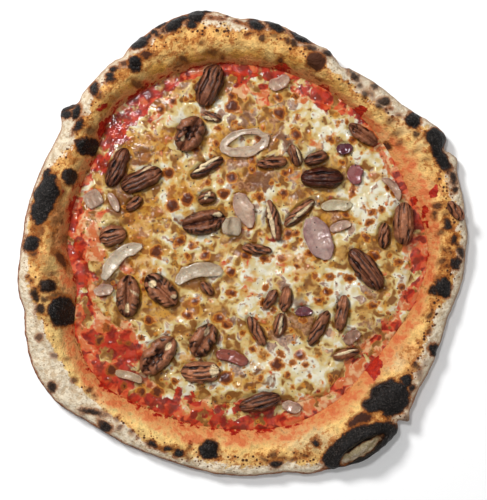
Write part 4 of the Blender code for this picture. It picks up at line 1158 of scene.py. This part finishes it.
def loop_rows(piece):
    """Rings round a whole slice of onion, an oval band that is broadest on its -y side."""
    rows = []
    for turn in np.linspace(0, math.tau, LOOP_STATIONS, endpoint=False):
        outer = np.array([math.cos(turn) * piece.length, math.sin(turn) * piece.width]) * MM / 2
        sideways = np.array([math.cos(turn) / piece.length, math.sin(turn) / piece.width])
        sideways /= np.linalg.norm(sideways)
        half = (LOOP_SLIM + (LOOP_BROAD - LOOP_SLIM) * (1 - math.sin(turn)) / 2) / 2
        wave = ONION_WAVE * (1 + math.sin(2 * turn))
        rows.append(slice_ring(outer - sideways * half, sideways, half, wave, LOOP_CUP))
    return np.array(rows)


def onion(number, piece, finish):
    node = f"onion_{number:02}"
    loop = piece.kind == "loop"
    rows = loop_rows(piece) if loop else onion_rows(piece)
    ripple = lattice_noise(rows * (1, 1, 0), 3 * MM, 200 + number)
    for way, seed in ((0, 400), (1, 500)):
        rows[..., way] += ONION_WOBBLE * lattice_noise(rows * (1, 1, 0), 4.5 * MM, seed + number)
    rows[..., 2] += ONION_RIPPLE * ripple

    pale, skin_colour = ONION_LOOKS.get(number, ONION_USUAL)
    across, _ = slice_section()
    ridges = lattice_noise(rows * (0.15, 1, 0), 1.0 * MM, 300 + number)
    share = np.clip(0.55 * np.abs(across) ** 2 + 0.3 * ridges + 0.25 * ripple + 0.1, 0, 1)
    tint = blend(linear(pale) * np.ones(rows.shape), linear(skin_colour), share)
    rows, = settle(piece, node, rows)
    made = skin(node.replace("onion", "Onion"), rows, None if loop else (None, None), finish, {"tint": tint})
    return dress(made, [node])


def surface_under(*pieces):
    """A function that gives the height of the highest of the pieces at a place."""
    trees = []
    for piece in pieces:
        data = piece.data
        data.calc_loop_triangles()
        trees.append(BVHTree.FromPolygons([v.co.copy() for v in data.vertices],
                                          [t.vertices[:] for t in data.loop_triangles]))

    def height(x, y):
        hits = [tree.ray_cast(Vector((x, y, 0.1)), Vector((0, 0, -1)))[0] for tree in trees]
        return max((hit.z for hit in hits if hit is not None), default=None)

    return height


def pepper(height):
    """Many small broken specks, strewn over a surface whose height is known, as one mesh."""
    draw = np.random.default_rng(PEPPER_SEED)
    corners = np.array([(1, 0, 0), (0, 1, 0), (-1, 0, 0), (0, -1, 0), (0, 0, 1), (0, 0, -1)], float)
    faces = [(0, 1, 4), (1, 2, 4), (2, 3, 4), (3, 0, 4), (1, 0, 5), (2, 1, 5), (3, 2, 5), (0, 3, 5)]
    points, polygons = [], []
    for _ in range(PEPPER_COUNT):
        bearing, far = draw.uniform(0, math.tau), PEPPER_REACH * MM * math.sqrt(draw.uniform(0, 1))
        x, y = SHIFT[0] + far * math.cos(bearing), SHIFT[1] + far * math.sin(bearing)
        size = draw.uniform(*PEPPER_SIZES) / 2 * MM
        spin = np.array(Matrix.Rotation(draw.uniform(0, math.tau), 3, "Z"))
        stretch = np.array([draw.uniform(0.8, 1.4), draw.uniform(0.6, 1.1), PEPPER_THICK])
        jitter = draw.uniform(0.7, 1.25, (6, 1))
        z = height(x, y)
        if z is None:
            continue
        polygons += [[corner + len(points) for corner in face] for face in faces]
        middle = x, y, z + 0.3 * size * PEPPER_THICK
        points += (corners * jitter * stretch * size @ spin.T + middle).tolist()
    data = bpy.data.meshes.new("Pepper")
    data.from_pydata(points, [], polygons)
    data.materials.append(pepper_finish())
    made = bpy.data.objects.new("Pepper", data)
    bpy.context.scene.collection.objects.link(made)
    return dress(made, [])


# Studio

def studio():
    data = bpy.data.meshes.new("Floor")
    far = FLOOR_HALF
    data.from_pydata([(-far, -far, 0), (far, -far, 0), (far, far, 0), (-far, far, 0)], [], [(0, 1, 2, 3)])
    floor = bpy.data.objects.new("Floor", data)
    floor.location.z = -FLOOR_DROP
    made = Finish("Pale floor")
    data.materials.append(made.finish(Base_Color=(FLOOR_GREY, FLOOR_GREY, FLOOR_GREY, 1), Roughness=0.6))
    bpy.context.scene.collection.objects.link(floor)

    world = bpy.data.worlds.new("Soft white")
    bpy.context.scene.world = world
    world.use_nodes = True
    world.node_tree.nodes["Background"].inputs["Color"].default_value = (1, 1, 1, 1)
    world.node_tree.nodes["Background"].inputs["Strength"].default_value = WORLD_STRENGTH

    for name, place, size, power in LIGHTS:
        light = bpy.data.lights.new(name, "AREA")
        light.size = size
        light.energy = power
        lamp = bpy.data.objects.new(name, light)
        lamp.location = place
        lamp.rotation_euler = Vector(place).to_track_quat("Z", "Y").to_euler()
        bpy.context.scene.collection.objects.link(lamp)


def camera():
    """Straight above, as in the photograph."""
    lens = bpy.data.cameras.new("Camera")
    lens.sensor_width = SENSOR
    lens.lens = SENSOR * CAMERA_FAR / PICTURE_HEIGHT
    made = bpy.data.objects.new("Camera", lens)
    x, y = (place * MM + shift for place, shift in zip(PICTURE_MIDDLE, SHIFT))
    made.location = (x, y, CAMERA_FAR + SIGHT_LEVEL)
    bpy.context.scene.collection.objects.link(made)
    bpy.context.scene.camera = made


# From the tables' zero to its place in the frame
SHIFT = table_shift()

bpy.context.scene.view_settings.view_transform = "Standard"
crust_piece, sauce_piece, cheese_piece = crust(), sauce(), cheese()
nut_skin, onion_skin = nut_finish(), onion_finish()
nuts = [pecan(number, piece, nut_skin) for number, piece in enumerate(PECANS, 1)]
slices = [onion(number, piece, onion_skin) for number, piece in enumerate(ONIONS, 1)]
pepper(surface_under(crust_piece, sauce_piece, cheese_piece, *nuts, *slices))
studio()
camera()
